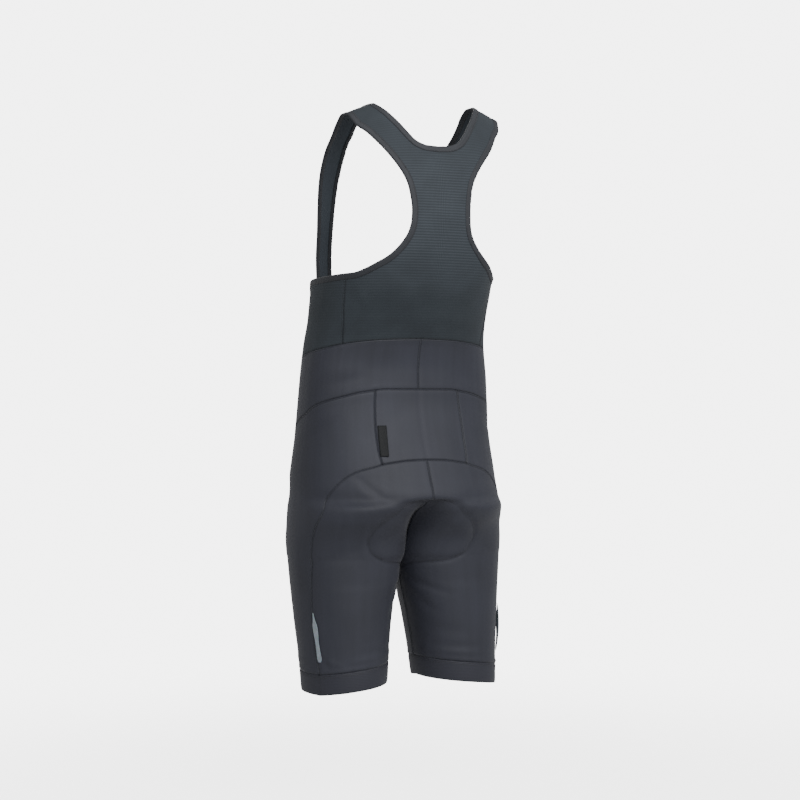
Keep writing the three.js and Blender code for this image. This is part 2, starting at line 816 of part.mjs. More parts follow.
// Bare label, sewn into the pocket's left seam
function label() {
  const top = { around: LABEL.around, height: LABEL.top };
  const foot = { around: LABEL.around + 0.003, height: LABEL.top - LABEL.length };
  return strip(straight(top, foot, STEPS.pocketSide), () => LABEL.width);
}
addPiece("label_tab", wall(label(), trim), labelSatin);

export default shorts;
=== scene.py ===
import math

import bmesh
import bpy
import numpy as np
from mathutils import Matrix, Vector


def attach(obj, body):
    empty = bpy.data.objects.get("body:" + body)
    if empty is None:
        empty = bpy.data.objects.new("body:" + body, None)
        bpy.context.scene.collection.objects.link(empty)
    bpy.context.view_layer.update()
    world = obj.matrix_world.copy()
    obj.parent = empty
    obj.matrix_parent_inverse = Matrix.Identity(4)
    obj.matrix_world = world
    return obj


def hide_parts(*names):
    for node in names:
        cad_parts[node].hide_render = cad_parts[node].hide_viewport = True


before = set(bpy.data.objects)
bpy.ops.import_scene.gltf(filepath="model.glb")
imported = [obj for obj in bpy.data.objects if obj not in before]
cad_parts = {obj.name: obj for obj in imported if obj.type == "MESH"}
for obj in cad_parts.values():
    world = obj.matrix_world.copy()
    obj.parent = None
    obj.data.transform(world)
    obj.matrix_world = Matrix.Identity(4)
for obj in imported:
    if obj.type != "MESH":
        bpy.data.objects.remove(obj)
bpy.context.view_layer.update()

# ---------------------------------------------------------------- Camera
# Looks level at the garment's back from 3.1 m, 29 degrees round to the wearer's left.
# The target is the middle of the hips, a centimetre left of the picture's middle.
azimuth = math.radians(151)
backwards = Vector((math.sin(azimuth), -math.cos(azimuth), 0))
picture_right = Vector((math.cos(azimuth), math.sin(azimuth), 0))
target = Vector((0, -0.080, -0.432)) + 0.0102 * picture_right
camera = bpy.data.objects.new("camera", bpy.data.cameras.new("camera"))
camera.data.sensor_width = 36
camera.data.lens = 36 * (3100 / 1.52) / 800
camera.location = target + 3.1 * backwards
camera.rotation_euler = (-backwards).to_track_quat("-Z", "Y").to_euler()
bpy.context.collection.objects.link(camera)
bpy.context.scene.camera = camera

# ---------------------------------------------------------------- Studio
# A matt pale floor below the hanging garment, a white surround and three soft lamps:
# a broad one behind the garment's back, one for its left side and one for its front.


def linear(hex_colour):
    """The linear colour of an sRGB hex value."""
    values = [int(hex_colour[i : i + 2], 16) / 255 for i in (1, 3, 5)]
    return (*[v / 12.92 if v <= 0.04045 else ((v + 0.055) / 1.055) ** 2.4 for v in values], 1)


def add_node(tree, kind, settings=None, inputs=None):
    """Adds a shader node with its settings, and with values or links for its inputs."""
    made = tree.nodes.new(kind)
    for name, value in (settings or {}).items():
        setattr(made, name, value)
    for name, value in (inputs or {}).items():
        if isinstance(value, bpy.types.NodeSocket):
            tree.links.new(value, made.inputs[name])
        else:
            made.inputs[name].default_value = value
    return made


def new_material(name, **surface):
    """A material of this name, its node tree and its shader with these plain values."""
    made = bpy.data.materials.new(name)
    made.use_nodes = True
    shader = made.node_tree.nodes["Principled BSDF"]
    for socket, value in surface.items():
        shader.inputs[socket.replace("_", " ")].default_value = value
    return made, made.node_tree, shader


world = bpy.data.worlds.new("white surround")
world.use_nodes = True
sky = world.node_tree.nodes["Background"]
sky.inputs["Color"].default_value = linear("#FFFFFF")
seen = add_node(world.node_tree, "ShaderNodeLightPath").outputs["Is Camera Ray"]
brightness = add_node(world.node_tree, "ShaderNodeMath", {"operation": "MULTIPLY_ADD"}, {0: seen, 1: 4.8, 2: 0.62})
world.node_tree.links.new(brightness.outputs["Value"], sky.inputs["Strength"])
bpy.context.scene.world = world

# The floor fades out into the surround, so no edge of it crosses the picture.
floor_paint, tree, shader = new_material("matt white studio floor", Base_Color=linear("#FBFBFB"), Roughness=0.9)
spot = add_node(tree, "ShaderNodeTexCoord").outputs["Object"]
scaled = add_node(tree, "ShaderNodeMapping", {}, {"Vector": spot, "Scale": (0.55, 0.55, 0.0)})
round_fade = add_node(tree, "ShaderNodeTexGradient", {"gradient_type": "SPHERICAL"}, {"Vector": scaled.outputs["Vector"]})
eased = add_node(tree, "ShaderNodeMapRange", {"interpolation_type": "SMOOTHERSTEP"},
                 {"Value": round_fade.outputs["Fac"], "From Min": 0.05, "From Max": 0.95, "To Max": 0.32})
tree.links.new(eased.outputs["Result"], shader.inputs["Alpha"])
bm = bmesh.new()
bmesh.ops.create_circle(bm, cap_ends=True, radius=1.8, segments=64)
floor_mesh = bpy.data.meshes.new("floor")
bm.to_mesh(floor_mesh)
bm.free()
floor_mesh.materials.append(floor_paint)
floor = bpy.data.objects.new("floor", floor_mesh)
floor.location.z = -1.02
bpy.context.collection.objects.link(floor)

for name, place, size, watts in (
    ("back_lamp", (-0.1, 1.85, 0.8), 1.6, 58),
    ("left_lamp", (2.2, 0.9, 1.5), 1.4, 10),
    ("front_lamp", (-0.9, -2.8, 0.9), 1.8, 28),
):
    lamp = bpy.data.objects.new(name, bpy.data.lights.new(name, "AREA"))
    lamp.data.size = size
    lamp.data.energy = watts
    lamp.location = place
    lamp.rotation_euler = (Vector((0, -0.05, -0.4)) - Vector(place)).to_track_quat("-Z", "Y").to_euler()
    bpy.context.collection.objects.link(lamp)

# ---------------------------------------------------------------- Back of the bib
# One piece of ribbed warp-knit mesh that carries both back straps. It is cut with its ribs
# level, bound along armholes and neck, and flatlocked to the front at the sides and shoulders.
# All the cloth below lies on the form that a wearer of this size gives it.

MM = 0.001
SHOULDER = 55
SHOULDER_DEPTH = 80
CROTCH = -668
CLEFT_SOFT, CLEFT_STEEPEST, CLEFT_FULL = 12, 0.7, 40
FRONT_BLEND, FRONT_SPAN = 20, 0.4
FIGURE_COLUMNS = ("z", "apart", "outer", "middle", "front", "back", "bridge", "square", "fall")
FIGURE = {
    55: (16, 0, 150, 80, 80, 80, 80, 2, 46),
    40: (14, 0, 150, 78, 66, 92, 78, 2, 42),
    25: (8, 0, 150, 76, 56, 102, 76, 2, 38),
    10: (0, 0, 150, 73, 47, 110, 73, 2, 34),
    -6: (-10, 0, 150, 70, 38, 117, 70, 2.05, 29),
    -27: (-27, 0, 150, 66, 21, 125, 66, 2.1, 24),
    -49: (-48, 0, 150, 60, -4, 132, 60, 2.15, 18),
    -70: (-70, 0, 150, 54, -20, 138, 54, 2.2, 12),
    -110: (-110, 0, 149, 45, -41, 146, 45, 2.3, 4),
    -160: (-160, 0, 147, 36, -59, 150, 36, 2.35, 0),
    -210: (-210, 0, 143, 30, -76, 145, 30, 2.35, 0),
    -260: (-260, 0, 138.5, 25, -85, 132, 25, 2.3, 0),
    -310: (-310, 0, 140, 15, -88, 106, 15, 2.3, 0),
    -352: (-352, 0, 145, 8, -90, 83, 8, 2.35, 0),
    -390: (-390, 0, 150, 9, -92, 77, 9, 2.35, 0),
    -430: (-430, 0, 153, 7, -98, 79, 7, 2.3, 0),
    -480: (-480, 0, 156, 2, -103, 90, 2, 2.25, 0),
    -545: (-545, 0, 163.5, -2, -107, 113, -60, 2.2, 0),
    -575: (-575, 14, 165, -1, -104, 123, -88, 2.2, 0),
    -590: (-590, 62, 166.5, 0, -98, 119, -92, 2.15, 0),
    -605: (-605, 77, 168, 1, -95, 107.5, -84, 2.1, 0),
    -620: (-620, 81, 169.7, 3, -92, 94.5, -69, 2.1, 0),
    -640: (-640, 83.8, 172.2, 6, -89, 86, -45, 2.1, 0),
    -660: (-660, 85.3, 172.5, 8, -86, 82, -15, 2.05, 0),
    -668: (-668, 86, 172, 8.5, -84, 81, 8.5, 2, 0),
    -680: (-680, 86.6, 171.2, 9, -82, 81, 9, 2, 0),
    -700: (-700, 87.7, 169.7, 9, -78, 81, 9, 2, 0),
    -715: (-715, 88.7, 168.3, 9, -75, 82, 9, 2, 0),
    -755: (-755, 91.7, 164.9, 10, -66, 83, 10, 2, 0),
    -810: (-810, 93, 160.5, 15, -54, 83, 15, 2, 0),
    -860: (-860, 94, 158, 19, -46, 84, 19, 2, 0),
    -900: (-900, 94.5, 157, 20, -43, 83, 20, 2, 0),
}


def smooth(at, values):
    """A smooth reading of values at rising places, which never overshoots them."""
    at, values = np.array(at, float), np.array(values, float)
    gap = np.diff(at)
    rise = np.diff(values) / gap
    slope = np.zeros(len(at))
    slope[0], slope[-1] = rise[0], rise[-1]
    for i in range(1, len(at) - 1):
        if rise[i - 1] * rise[i] > 0:
            before, after = 2 * gap[i] + gap[i - 1], gap[i] + 2 * gap[i - 1]
            slope[i] = (before + after) / (before / rise[i - 1] + after / rise[i])

    def read(x):
        x = np.clip(x, at[0], at[-1])
        i = np.clip(np.searchsorted(at, x, side="right") - 1, 0, len(gap) - 1)
        t = (x - at[i]) / gap[i]
        u = 1 - t
        return (
            (1 + 2 * t) * u * u * values[i]
            + t * u * u * gap[i] * slope[i]
            + t * t * (3 - 2 * t) * values[i + 1]
            - t * t * u * gap[i] * slope[i + 1]
        )

    return read


levels = sorted(FIGURE)
level_curves = {
    name: smooth(levels, [FIGURE[h][i] for h in levels]) for i, name in enumerate(FIGURE_COLUMNS)
}


def figure_point(around, height):
    """Points in mm on the left half of the form: around is 0 at the centre back, 1 at the front."""
    f = {name: curve(height) for name, curve in level_curves.items()}
    wide = f["outer"] - f["apart"]
    share = np.minimum(1, f["apart"] / wide)
    power = 2 / f["square"]
    opening = np.arccos(-(share ** (1 / power)))
    turn = opening * (1 - 2 * around)
    past = (share < 1) & (np.abs(turn) > opening)
    turn = np.where(past, np.sign(turn) * (2 * opening - np.abs(turn)), turn)
    cosine, sine = np.cos(turn), np.sin(turn)
    x = f["apart"] + wide * np.sign(cosine) * np.abs(cosine) ** power
    behind = sine > 0
    depth = np.where(behind, f["back"] - f["middle"], f["middle"] - f["front"])
    y = f["middle"] + depth * np.sign(sine) * np.abs(sine) ** power
    notch = depth * np.abs(np.sin(opening)) ** power
    steep = np.minimum(CLEFT_STEEPEST, share / np.sqrt(np.maximum(1 - share**2, 1e-12)) * depth / wide)
    room = np.minimum(1, notch / CLEFT_FULL)
    lift = steep * CLEFT_SOFT * room * np.exp(-np.maximum(x, 0) / CLEFT_SOFT)
    inward = np.clip((f["apart"] - x) / (FRONT_SPAN * np.maximum(f["apart"], 1e-9)), 0, 1)
    blend = np.maximum(np.minimum(FRONT_BLEND, notch / 2), 1e-9)
    near = np.maximum(0, blend - np.abs(y - f["bridge"]))
    spanned = np.minimum(y, f["bridge"]) - near * near / (4 * blend)
    pull = inward * inward * (3 - 2 * inward)
    y = y + np.where((share < 1) & behind, lift, 0)
    y = y + np.where((share < 1) & ~behind, pull * (spanned - y), 0)
    z = f["z"] - f["fall"] * (x / wide) ** 2
    return np.stack([np.where(past, -x, x), y - SHOULDER_DEPTH, z], -1)


def figure_frame(around, height):
    """The form's points, how they move across and up, and its outward normals."""
    above = np.minimum(height + 1, SHOULDER)
    below = height - 1
    across = (figure_point(around + 0.002, height) - figure_point(around - 0.002, height)) / 0.004
    up = (figure_point(around, above) - figure_point(around, below)) / (above - below)[..., None]
    normal = np.cross(up, across)
    normal /= np.linalg.norm(normal, axis=-1, keepdims=True)
    return figure_point(around, height), across, up, normal


class Line:
    """A line over the form, read by its share of its own length."""

    def __init__(self, t, around, height):
        self.t, self.around, self.height = np.array(t, float), np.array(around, float), np.array(height, float)

    def at(self, t):
        return np.interp(t, self.t, self.around), np.interp(t, self.t, self.height)

    def back(self):
        return Line(1 - self.t[::-1], self.around[::-1], self.height[::-1])

    def length(self):
        points = figure_point(self.around, self.height)
        return float(np.linalg.norm(np.diff(points, axis=0), axis=1).sum())

    def ends(self):
        return (self.around[0], self.height[0]), (self.around[-1], self.height[-1])


def evened(around, height):
    points = figure_point(around, height)
    run = np.concatenate([[0], np.cumsum(np.linalg.norm(np.diff(points, axis=0), axis=1))])
    return Line(run / run[-1], around, height)


def seam(rows):
    """The smooth line through (around, height) rows."""
    fine = np.linspace(0, len(rows) - 1, 24 * (len(rows) - 1) + 1)
    index = range(len(rows))
    return evened(smooth(index, [r[0] for r in rows])(fine), smooth(index, [r[1] for r in rows])(fine))


def stretch(rows, start, end):
    """The part of a line of rising around between two values of it."""
    heights = smooth([r[0] for r in rows], [r[1] for r in rows])
    inside = [r for r in rows if start + 1e-6 < r[0] < end - 1e-6]
    ends = [(start, float(heights(start))), (end, float(heights(end)))]
    return seam([ends[0], *inside, ends[1]])


def straight(a, b):
    return Line(np.linspace(0, 1, 25), np.linspace(a[0], b[0], 25), np.linspace(a[1], b[1], 25))


def joined(*lines):
    """Lines end to end, each with its share of the whole by its length."""
    sizes = [line.length() for line in lines]
    starts = np.concatenate([[0], np.cumsum(sizes)]) / sum(sizes)
    t = np.concatenate([a + line.t * (b - a) for line, a, b in zip(lines, starts, starts[1:])])
    return Line(t, np.concatenate([l.around for l in lines]), np.concatenate([l.height for l in lines]))


def offset(around, height, distance):
    """Points moved over the cloth by mm to the left of a line's direction."""
    point, across, up, normal = figure_frame(around, height)
    along = np.gradient(point, axis=0)
    along /= np.linalg.norm(along, axis=-1, keepdims=True)
    move = np.cross(normal, along) * np.asarray(distance)[..., None]
    aa, ab, bb = (across * across).sum(-1), (across * up).sum(-1), (up * up).sum(-1)
    ma, mb = (move * across).sum(-1), (move * up).sum(-1)
    span = np.maximum(aa * bb - ab * ab, 1e-9)
    return around + (ma * bb - mb * ab) / span, np.minimum(height + (mb * aa - ma * ab) / span, SHOULDER)


def patch(first, last, start, end):
    """A four-sided piece of cloth blended from its edges, read by its two shares."""

    def read(s, t):
        spots = []
        for axis in (0, 1):
            f, l = first.at(s)[axis], last.at(s)[axis]
            a, b = start.at(t)[axis], end.at(t)[axis]
            f0, f1 = first.ends()[0][axis], first.ends()[1][axis]
            l0, l1 = last.ends()[0][axis], last.ends()[1][axis]
            edges = (1 - t) * f + t * l + (1 - s) * a + s * b
            spots.append(edges - (1 - s) * ((1 - t) * f0 + t * l0) - s * ((1 - t) * f1 + t * l1))
        return spots

    return read


ARMHOLE_BACK = [
    (0.35, -248), (0.308, -247), (0.257, -241), (0.208, -232), (0.175, -225), (0.142, -214),
    (0.116, -201), (0.099, -188), (0.09, -172), (0.088, -154), (0.098, -122), (0.114, -104),
    (0.139, -86), (0.17, -68), (0.2, -53), (0.243, -32), (0.285, -13), (0.307, 15),
    (0.315, 35), (0.318, SHOULDER),
]
ARMHOLE_FRONT = [(0.35, -248), (0.429, -250), (0.52, -252), (0.6, -254), (0.66, -260), (0.705, -275)]
ARMHOLE_CORNER = [(0.705, -275), (0.73, -272), (0.743, -262), (0.75, -246)]
STRAP_OUTER = [
    (0.75, -246), (0.749, -194), (0.733, -149), (0.709, -108), (0.695, -80), (0.687, -47),
    (0.683, -8), (0.682, 26), (0.682, SHOULDER),
]
STRAP_INNER = [
    (0.853, -246), (0.851, -215), (0.846, -180), (0.841, -146), (0.836, -112), (0.83, -77),
    (0.825, -55), (0.819, -34), (0.815, -5), (0.814, 28), (0.814, SHOULDER),
]
SCOOP = [(1, -301), (0.94, -298), (0.892, -288)]
SCOOP_SIDE = [(0.892, -288), (0.863, -270), (0.853, -246)]
NECK_BACK = [
    (0, -62), (0.03, -61), (0.063, -55), (0.088, -43), (0.112, -28), (0.144, -6),
    (0.17, 18), (0.182, 36), (0.186, SHOULDER),
]
SIDE_BACK = [(0.35, -248), (0.337, -286), (0.311, -322), (0.286, -350)]
WAIST = [
    (0, -342), (0.108, -343.5), (0.194, -346), (0.286, -350), (0.375, -355), (0.492, -361),
    (0.57, -367), (0.7, -374), (1, -380),
]

armhole_back, armhole_front, armhole_corner = seam(ARMHOLE_BACK), seam(ARMHOLE_FRONT), seam(ARMHOLE_CORNER)
strap_outer, strap_inner = seam(STRAP_OUTER), seam(STRAP_INNER)
scoop, scoop_side, neck_back = seam(SCOOP), seam(SCOOP_SIDE), seam(NECK_BACK)
side_back = seam(SIDE_BACK)
waist_back, waist_front = stretch(WAIST, 0, 0.286), stretch(WAIST, 0.286, 1)

# The rest of the seams and the pad's edge, which the cloth shows as dips and a raised field.
YOKE_LOWER = [
    (0, -416), (0.094, -416), (0.134, -417.5), (0.194, -421), (0.258, -426.5), (0.332, -432.5),
    (0.415, -440.5), (0.488, -453), (0.566, -467), (0.65, -482), (0.8, -499), (1, -508),
]
POCKET_SIDE = [(0.134, -417.5), (0.139, -447), (0.143, -478), (0.141, -505), (0.134, -526.5)]
SEAT_ARC = [
    (0, -520), (0.05, -521), (0.1, -524), (0.134, -526.5), (0.16, -530), (0.212, -536),
    (0.257, -545), (0.294, -556),
]
SIDE_SEAM = [
    (0.294, -556), (0.343, -575), (0.38, -596), (0.4, -620), (0.415, -660), (0.43, -743),
    (0.429, -790), (0.418, -835),
]
HEM_EDGE = [
    (0, -848), (0.146, -853), (0.27, -858), (0.33, -861), (0.418, -865), (0.5, -863),
    (0.6, -861), (0.8, -856), (1, -848),
]
PAD_EDGE_BACK = [
    (0, -577), (0.053, -582), (0.105, -588), (0.145, -597), (0.197, -609), (0.223, -624),
    (0.233, -640), (0.229, -654), (0.214, -665), (0.188, -672), (0.145, -675), (0.095, -677),
    (0.045, -681), (0, -684),
]
PAD_EDGE_FRONT = [
    (1, -595), (0.93, -597), (0.87, -604), (0.83, -622), (0.825, -645), (0.845, -664),
    (0.89, -674), (0.945, -681), (1, -684),
]
yoke_back, yoke_front = stretch(YOKE_LOWER, 0, 0.134), stretch(YOKE_LOWER, 0.134, 1)
pocket_side = seam(POCKET_SIDE)
seat_top, seat_arc = stretch(SEAT_ARC, 0, 0.134), stretch(SEAT_ARC, 0.134, 0.294)
side_seam = seam(SIDE_SEAM)
hem_top_rows = [(a, h + 30) for a, h in HEM_EDGE]
hem_top_back, hem_top_front = stretch(hem_top_rows, 0, 0.418), stretch(hem_top_rows, 0.418, 1)
pad_edge_back, pad_edge_front = seam(PAD_EDGE_BACK), seam(PAD_EDGE_FRONT)

SPREAD = 450  # mm of cloth from centre back to centre front, to measure distances on the flat


def flat(around, height):
    return np.stack([np.asarray(around) * SPREAD, np.asarray(height) * 1.0], -1)


def distance_to(spots, line, step=6):
    """Flat distance in mm from spots to a line."""
    count = max(2, int(line.length() / step))
    knots = flat(*line.at(np.linspace(0, 1, count)))
    nearest = np.full(len(spots), 1e9)
    for a, b in zip(knots, knots[1:]):
        t = np.clip(((spots - a) @ (b - a)) / max((b - a) @ (b - a), 1e-9), 0, 1)
        nearest = np.minimum(nearest, np.linalg.norm(spots - a - t[:, None] * (b - a), axis=1))
    return nearest


def inside(spots, line):
    """Whether spots lie inside a line closed by a straight back to its start."""
    knots = flat(*line.at(np.linspace(0, 1, 60)))
    hit = np.zeros(len(spots), bool)
    for a, b in zip(knots, np.roll(knots, -1, axis=0)):
        crosses = (a[1] > spots[:, 1]) != (b[1] > spots[:, 1])
        rise = b[1] - a[1] if abs(b[1] - a[1]) > 1e-9 else 1e-9
        hit ^= crosses & (spots[:, 0] < a[0] + (spots[:, 1] - a[1]) * (b[0] - a[0]) / rise)
    return hit


SUNK_SEAMS = [side_back, waist_back, waist_front, yoke_back, yoke_front, pocket_side, seat_top, seat_arc]
SUNK_SEAMS += [side_seam, hem_top_back, hem_top_front]
SUNK_SEAMS += [straight((0, -342), (0, CROTCH)), straight((1, -380), (1, CROTCH))]

# Folds, listed one by one: from and to (around, height), half width in mm and height in mm, which is
# under zero for a trough. Around is positive on the wearer's left and negative on their right.
FOLDS = [
    # the hip and small of the back
    ((0.225, -545), (0.135, -577), 5, -1.3), ((0.235, -556), (0.16, -584), 7, 0.8),
    ((-0.21, -541), (-0.13, -570), 6, -0.8), ((0.18, -398), (0.33, -411), 8, -0.9),
    ((0.2, -384), (0.36, -391), 10, 0.7), ((-0.12, -396), (-0.31, -404), 9, -0.8),
    ((0.30, -462), (0.46, -492), 9, -0.9), ((0.27, -448), (0.42, -470), 10, 0.7),
    ((-0.28, -455), (-0.45, -480), 9, -0.9), ((0.02, -440), (0.1, -470), 12, -0.6),
    ((-0.03, -486), (-0.12, -510), 10, 0.6), ((0.04, -500), (0.12, -512), 8, -0.5),
    # under the seat and at the crotch
    ((0.03, -700), (0.17, -727), 6, -1.5), ((0.02, -716), (0.14, -752), 7, -1.2),
    ((0.04, -692), (0.2, -708), 6, 0.9), ((-0.03, -698), (-0.18, -722), 6, -1.4),
    ((-0.02, -720), (-0.13, -748), 7, -1.1), ((0.24, -648), (0.36, -668), 8, -1.0),
    ((-0.24, -645), (-0.37, -672), 8, -1.0), ((0.97, -690), (0.82, -712), 7, -1.5),
    ((0.98, -708), (0.86, -742), 8, -1.2), ((-0.97, -692), (-0.83, -716), 7, -1.4),
    ((-0.98, -712), (-0.85, -738), 8, -1.1),
    # the front of the hips
    ((0.62, -560), (0.9, -628), 10, -2.0), ((0.6, -542), (0.88, -606), 11, 1.2),
    ((-0.63, -565), (-0.91, -622), 10, -1.8), ((-0.61, -548), (-0.87, -600), 11, 1.1),
    ((0.7, -420), (0.93, -430), 9, -1.1), ((-0.72, -414), (-0.95, -421), 9, -1.0),
    ((0.76, -394), (1.05, -400), 9, 0.9), ((0.66, -520), (0.85, -545), 10, -1.0),
    ((-0.66, -515), (-0.84, -538), 10, -0.9),
    # above the hem bands, which draw the cloth in
    ((0.04, -806), (0.3, -815), 5, 0.9), ((0.05, -797), (0.26, -803), 5, -0.7),
    ((0.33, -820), (0.41, -812), 4, 0.8), ((0.375, -826), (0.41, -806), 4, -1.2),
    ((-0.05, -807), (-0.28, -813), 5, 0.8), ((-0.06, -798), (-0.3, -804), 6, -0.7),
    ((0.5, -815), (0.78, -812), 5, 0.8), ((-0.5, -814), (-0.82, -811), 5, 0.8),
    ((0.6, -806), (0.8, -800), 6, -0.6), ((-0.58, -804), (-0.8, -799), 6, -0.6),
    # the thighs
    ((0.1, -770), (0.24, -788), 9, -0.7), ((-0.08, -772), (-0.25, -783), 9, -0.7),
    ((0.6, -740), (0.8, -765), 10, -0.8), ((-0.62, -735), (-0.82, -764), 10, -0.8),
    # the bib, drawn towards the straps
    ((0.12, -120), (0.13, -170), 8, -0.6), ((-0.13, -125), (-0.125, -180), 8, -0.6),
    ((0.16, -238), (0.06, -262), 9, -0.7), ((-0.15, -236), (-0.05, -268), 9, -0.7),
    ((0.3, -262), (0.22, -296), 8, 0.6), ((-0.31, -260), (-0.2, -300), 9, 0.6),
    ((0.02, -318), (0.15, -325), 9, -0.7), ((-0.02, -322), (-0.17, -328), 9, -0.6),
    ((0.42, -275), (0.46, -330), 9, -0.7), ((-0.42, -272), (-0.47, -325), 9, -0.7),
    ((0.72, -290), (0.8, -330), 9, -1.0), ((-0.72, -290), (-0.81, -335), 9, -1.0),
    ((0.9, -306), (0.94, -350), 9, -0.8), ((-0.9, -308), (-0.95, -345), 9, -0.8),
    ((0.03, -75), (0.1, -90), 8, 0.5), ((-0.04, -78), (-0.11, -92), 8, 0.5),
]


def hollow(around, height):
    """The soft hollow between the two seats below the pad's top edge, in mm."""
    below = np.maximum(0, -577 - height)
    away = np.abs(around) * SPREAD
    return -11 * (1 - np.exp(-((below / 6) ** 2))) * np.exp(-((below / 56) ** 2)) * np.exp(-((away / 30) ** 2))


def seat_ease(around, height, side):
    """The stretch of the cloth, which rounds off the fold under each seat, in mm."""
    end = 0.48 if side > 0 else 0.33
    share = np.clip((around - 0.04) / 0.1, 0, 1) * np.clip((end - around) / 0.14, 0, 1)
    ridge = -2.2 * np.exp(-(((height + 577) / 12) ** 2)) + 5 * np.exp(-(((height + 616) / 20) ** 2))
    return share * share * (3 - 2 * share) * ridge


def surface_lift(around, height, side):
    """How far the cloth's outer face stands off the form: folds, sunk seams and the pad's field."""
    spots = flat(around, height)
    lift = hollow(around, height) + seat_ease(around, height, side)
    signed = np.asarray(around) * side
    for (a0, h0), (a1, h1), width, rise in FOLDS:
        for turn in (-2, 0, 2):
            a, b = np.array([(a0 + turn) * SPREAD, h0]), np.array([(a1 + turn) * SPREAD, h1])
            here = np.stack([signed * SPREAD, height], -1)
            t = np.clip(((here - a) @ (b - a)) / ((b - a) @ (b - a)), 0, 1)
            gap = np.linalg.norm(here - a - t[:, None] * (b - a), axis=1)
            lift += rise * np.exp(-((gap / width) ** 2)) * (0.35 + 0.65 * np.sin(math.pi * t))
    for line in SUNK_SEAMS:
        gap = distance_to(spots, line)
        lift += -0.4 * np.exp(-((gap / 1.9) ** 2)) + 0.12 * np.exp(-(((gap - 5) / 2.5) ** 2))
    for line in (hem_top_back, hem_top_front):
        gap = distance_to(spots, line)
        above = spots[:, 1] > np.interp(around, line.around, line.height)
        lift += above * 0.7 * np.exp(-(((gap - 3.6) / 1.8) ** 2))
    if spots[:, 1].min() < -560:
        edge = np.minimum(distance_to(spots, pad_edge_back, 4), distance_to(spots, pad_edge_front, 4))
        within = inside(spots, pad_edge_back) | inside(spots, pad_edge_front)
        rise = np.where(within, 2.9 * (1 - np.exp(-((edge / 8) ** 2))), 0)
        fade = np.clip((spots[:, 1] + 690) / 16, 0, 1)
        lift += (rise - 1.3 * np.exp(-((edge / 2.4) ** 2))) * fade
    return lift


def flat_map(bm):
    """The cloth's own flat map of a bmesh."""
    return bm.loops.layers.uv.get("cloth") or bm.loops.layers.uv.new("cloth")


def set_positions(verts, points):
    for vert, point in zip(verts, points):
        vert.co = point


def stance(point, side):
    """The wearer's right shoulder is a little higher, and its armhole cut a little wider, than their left."""
    if side > 0:
        return point
    x, y, z = point.T
    high = np.clip((z + 170) / 190, 0, 1) * np.clip(np.abs(x) / 60, 0, 1)
    moved = point + (high * high * (3 - 2 * high))[:, None] * np.array([-3.5, 2.5, 5.0])
    behind = np.clip((y + 40) / 60, 0, 1) * np.clip(np.abs(x) / 85, 0, 1) ** 2
    moved[:, 0] -= behind * (8 * np.exp(-(((z + 68) / 34) ** 2)) + 6 * np.exp(-(((z + 226) / 24) ** 2)))
    return moved


def lay_cloth(bm, shape, across, down, side=1, lift=0.0, folds=True, extra=None):
    """Adds a grid of cloth, laid on the form by its shape, to a bmesh. Returns its vertices."""
    made = bmesh.ops.create_grid(bm, x_segments=across, y_segments=down, size=0.5)["verts"]
    shares = np.array([(v.co.x + 0.5, v.co.y + 0.5) for v in made])
    around, height = shape(shares[:, 0], shares[:, 1])
    point, _, _, normal = figure_frame(around, height)
    out = np.full(len(made), float(lift))
    if folds:
        out += surface_lift(around, height, side)
    if extra is not None:
        out += extra(shares[:, 0], shares[:, 1])
    point = point + normal * out[:, None]
    point[:, 0] = np.where(around <= 1e-9, np.maximum(point[:, 0], 0), point[:, 0])
    on_middle = ((around <= 1e-9) | (around >= 1 - 1e-9)) & (height >= CROTCH)
    point[:, 0] = np.where(on_middle, 0, np.maximum(point[:, 0], 0))
    point[:, 0] *= side
    normal[:, 0] *= side
    set_positions(made, stance(point, side) * MM)
    layer = flat_map(bm)
    for vert, a, h in zip(made, around, height):
        for loop in vert.link_loops:
            loop[layer].uv = (side * a * SPREAD * MM, h * MM)
    faces = list({face for vert in made for face in vert.link_faces})
    way = {vert: Vector(n) for vert, n in zip(made, normal)}
    facing = 0.0
    for face in faces:
        face.normal_update()
        facing += face.normal.dot(way[face.verts[0]])
    if facing < 0:
        bmesh.ops.reverse_faces(bm, faces=faces)
    return made


def finish_piece(bm, name, materials, nodes=(), weld=0.00002):
    """Turns a bmesh into a piece of the garment that rides with it and stands for CAD nodes."""
    bmesh.ops.remove_doubles(bm, verts=bm.verts, dist=weld)
    mesh = bpy.data.meshes.new(name)
    bm.to_mesh(mesh)
    bm.free()
    for material in materials:
        mesh.materials.append(material)
    for polygon in mesh.polygons:
        polygon.use_smooth = True
    piece = bpy.data.objects.new(name, mesh)
    bpy.context.collection.objects.link(piece)
    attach(piece, "root")
    if nodes:
        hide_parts(*nodes)
    return piece


def thicken(piece, thickness, inner_material=0):
    """Gives a piece its wall, inwards from the face it was laid with."""
    wall = piece.modifiers.new("wall", "SOLIDIFY")
    wall.thickness = thickness * MM
    wall.offset = -1
    wall.use_rim = True
    wall.material_offset = inner_material


def cloth_pattern(tree):
    """The cloth's own flat coordinates in metres."""
    return add_node(tree, "ShaderNodeUVMap", {"uv_map": "cloth"}).outputs["UV"]


def mixed(tree, factor, first, second, way="MIX"):
    inputs = {"Factor": factor, 6: first, 7: second}
    return add_node(tree, "ShaderNodeMix", {"data_type": "RGBA", "blend_type": way}, inputs).outputs[2]


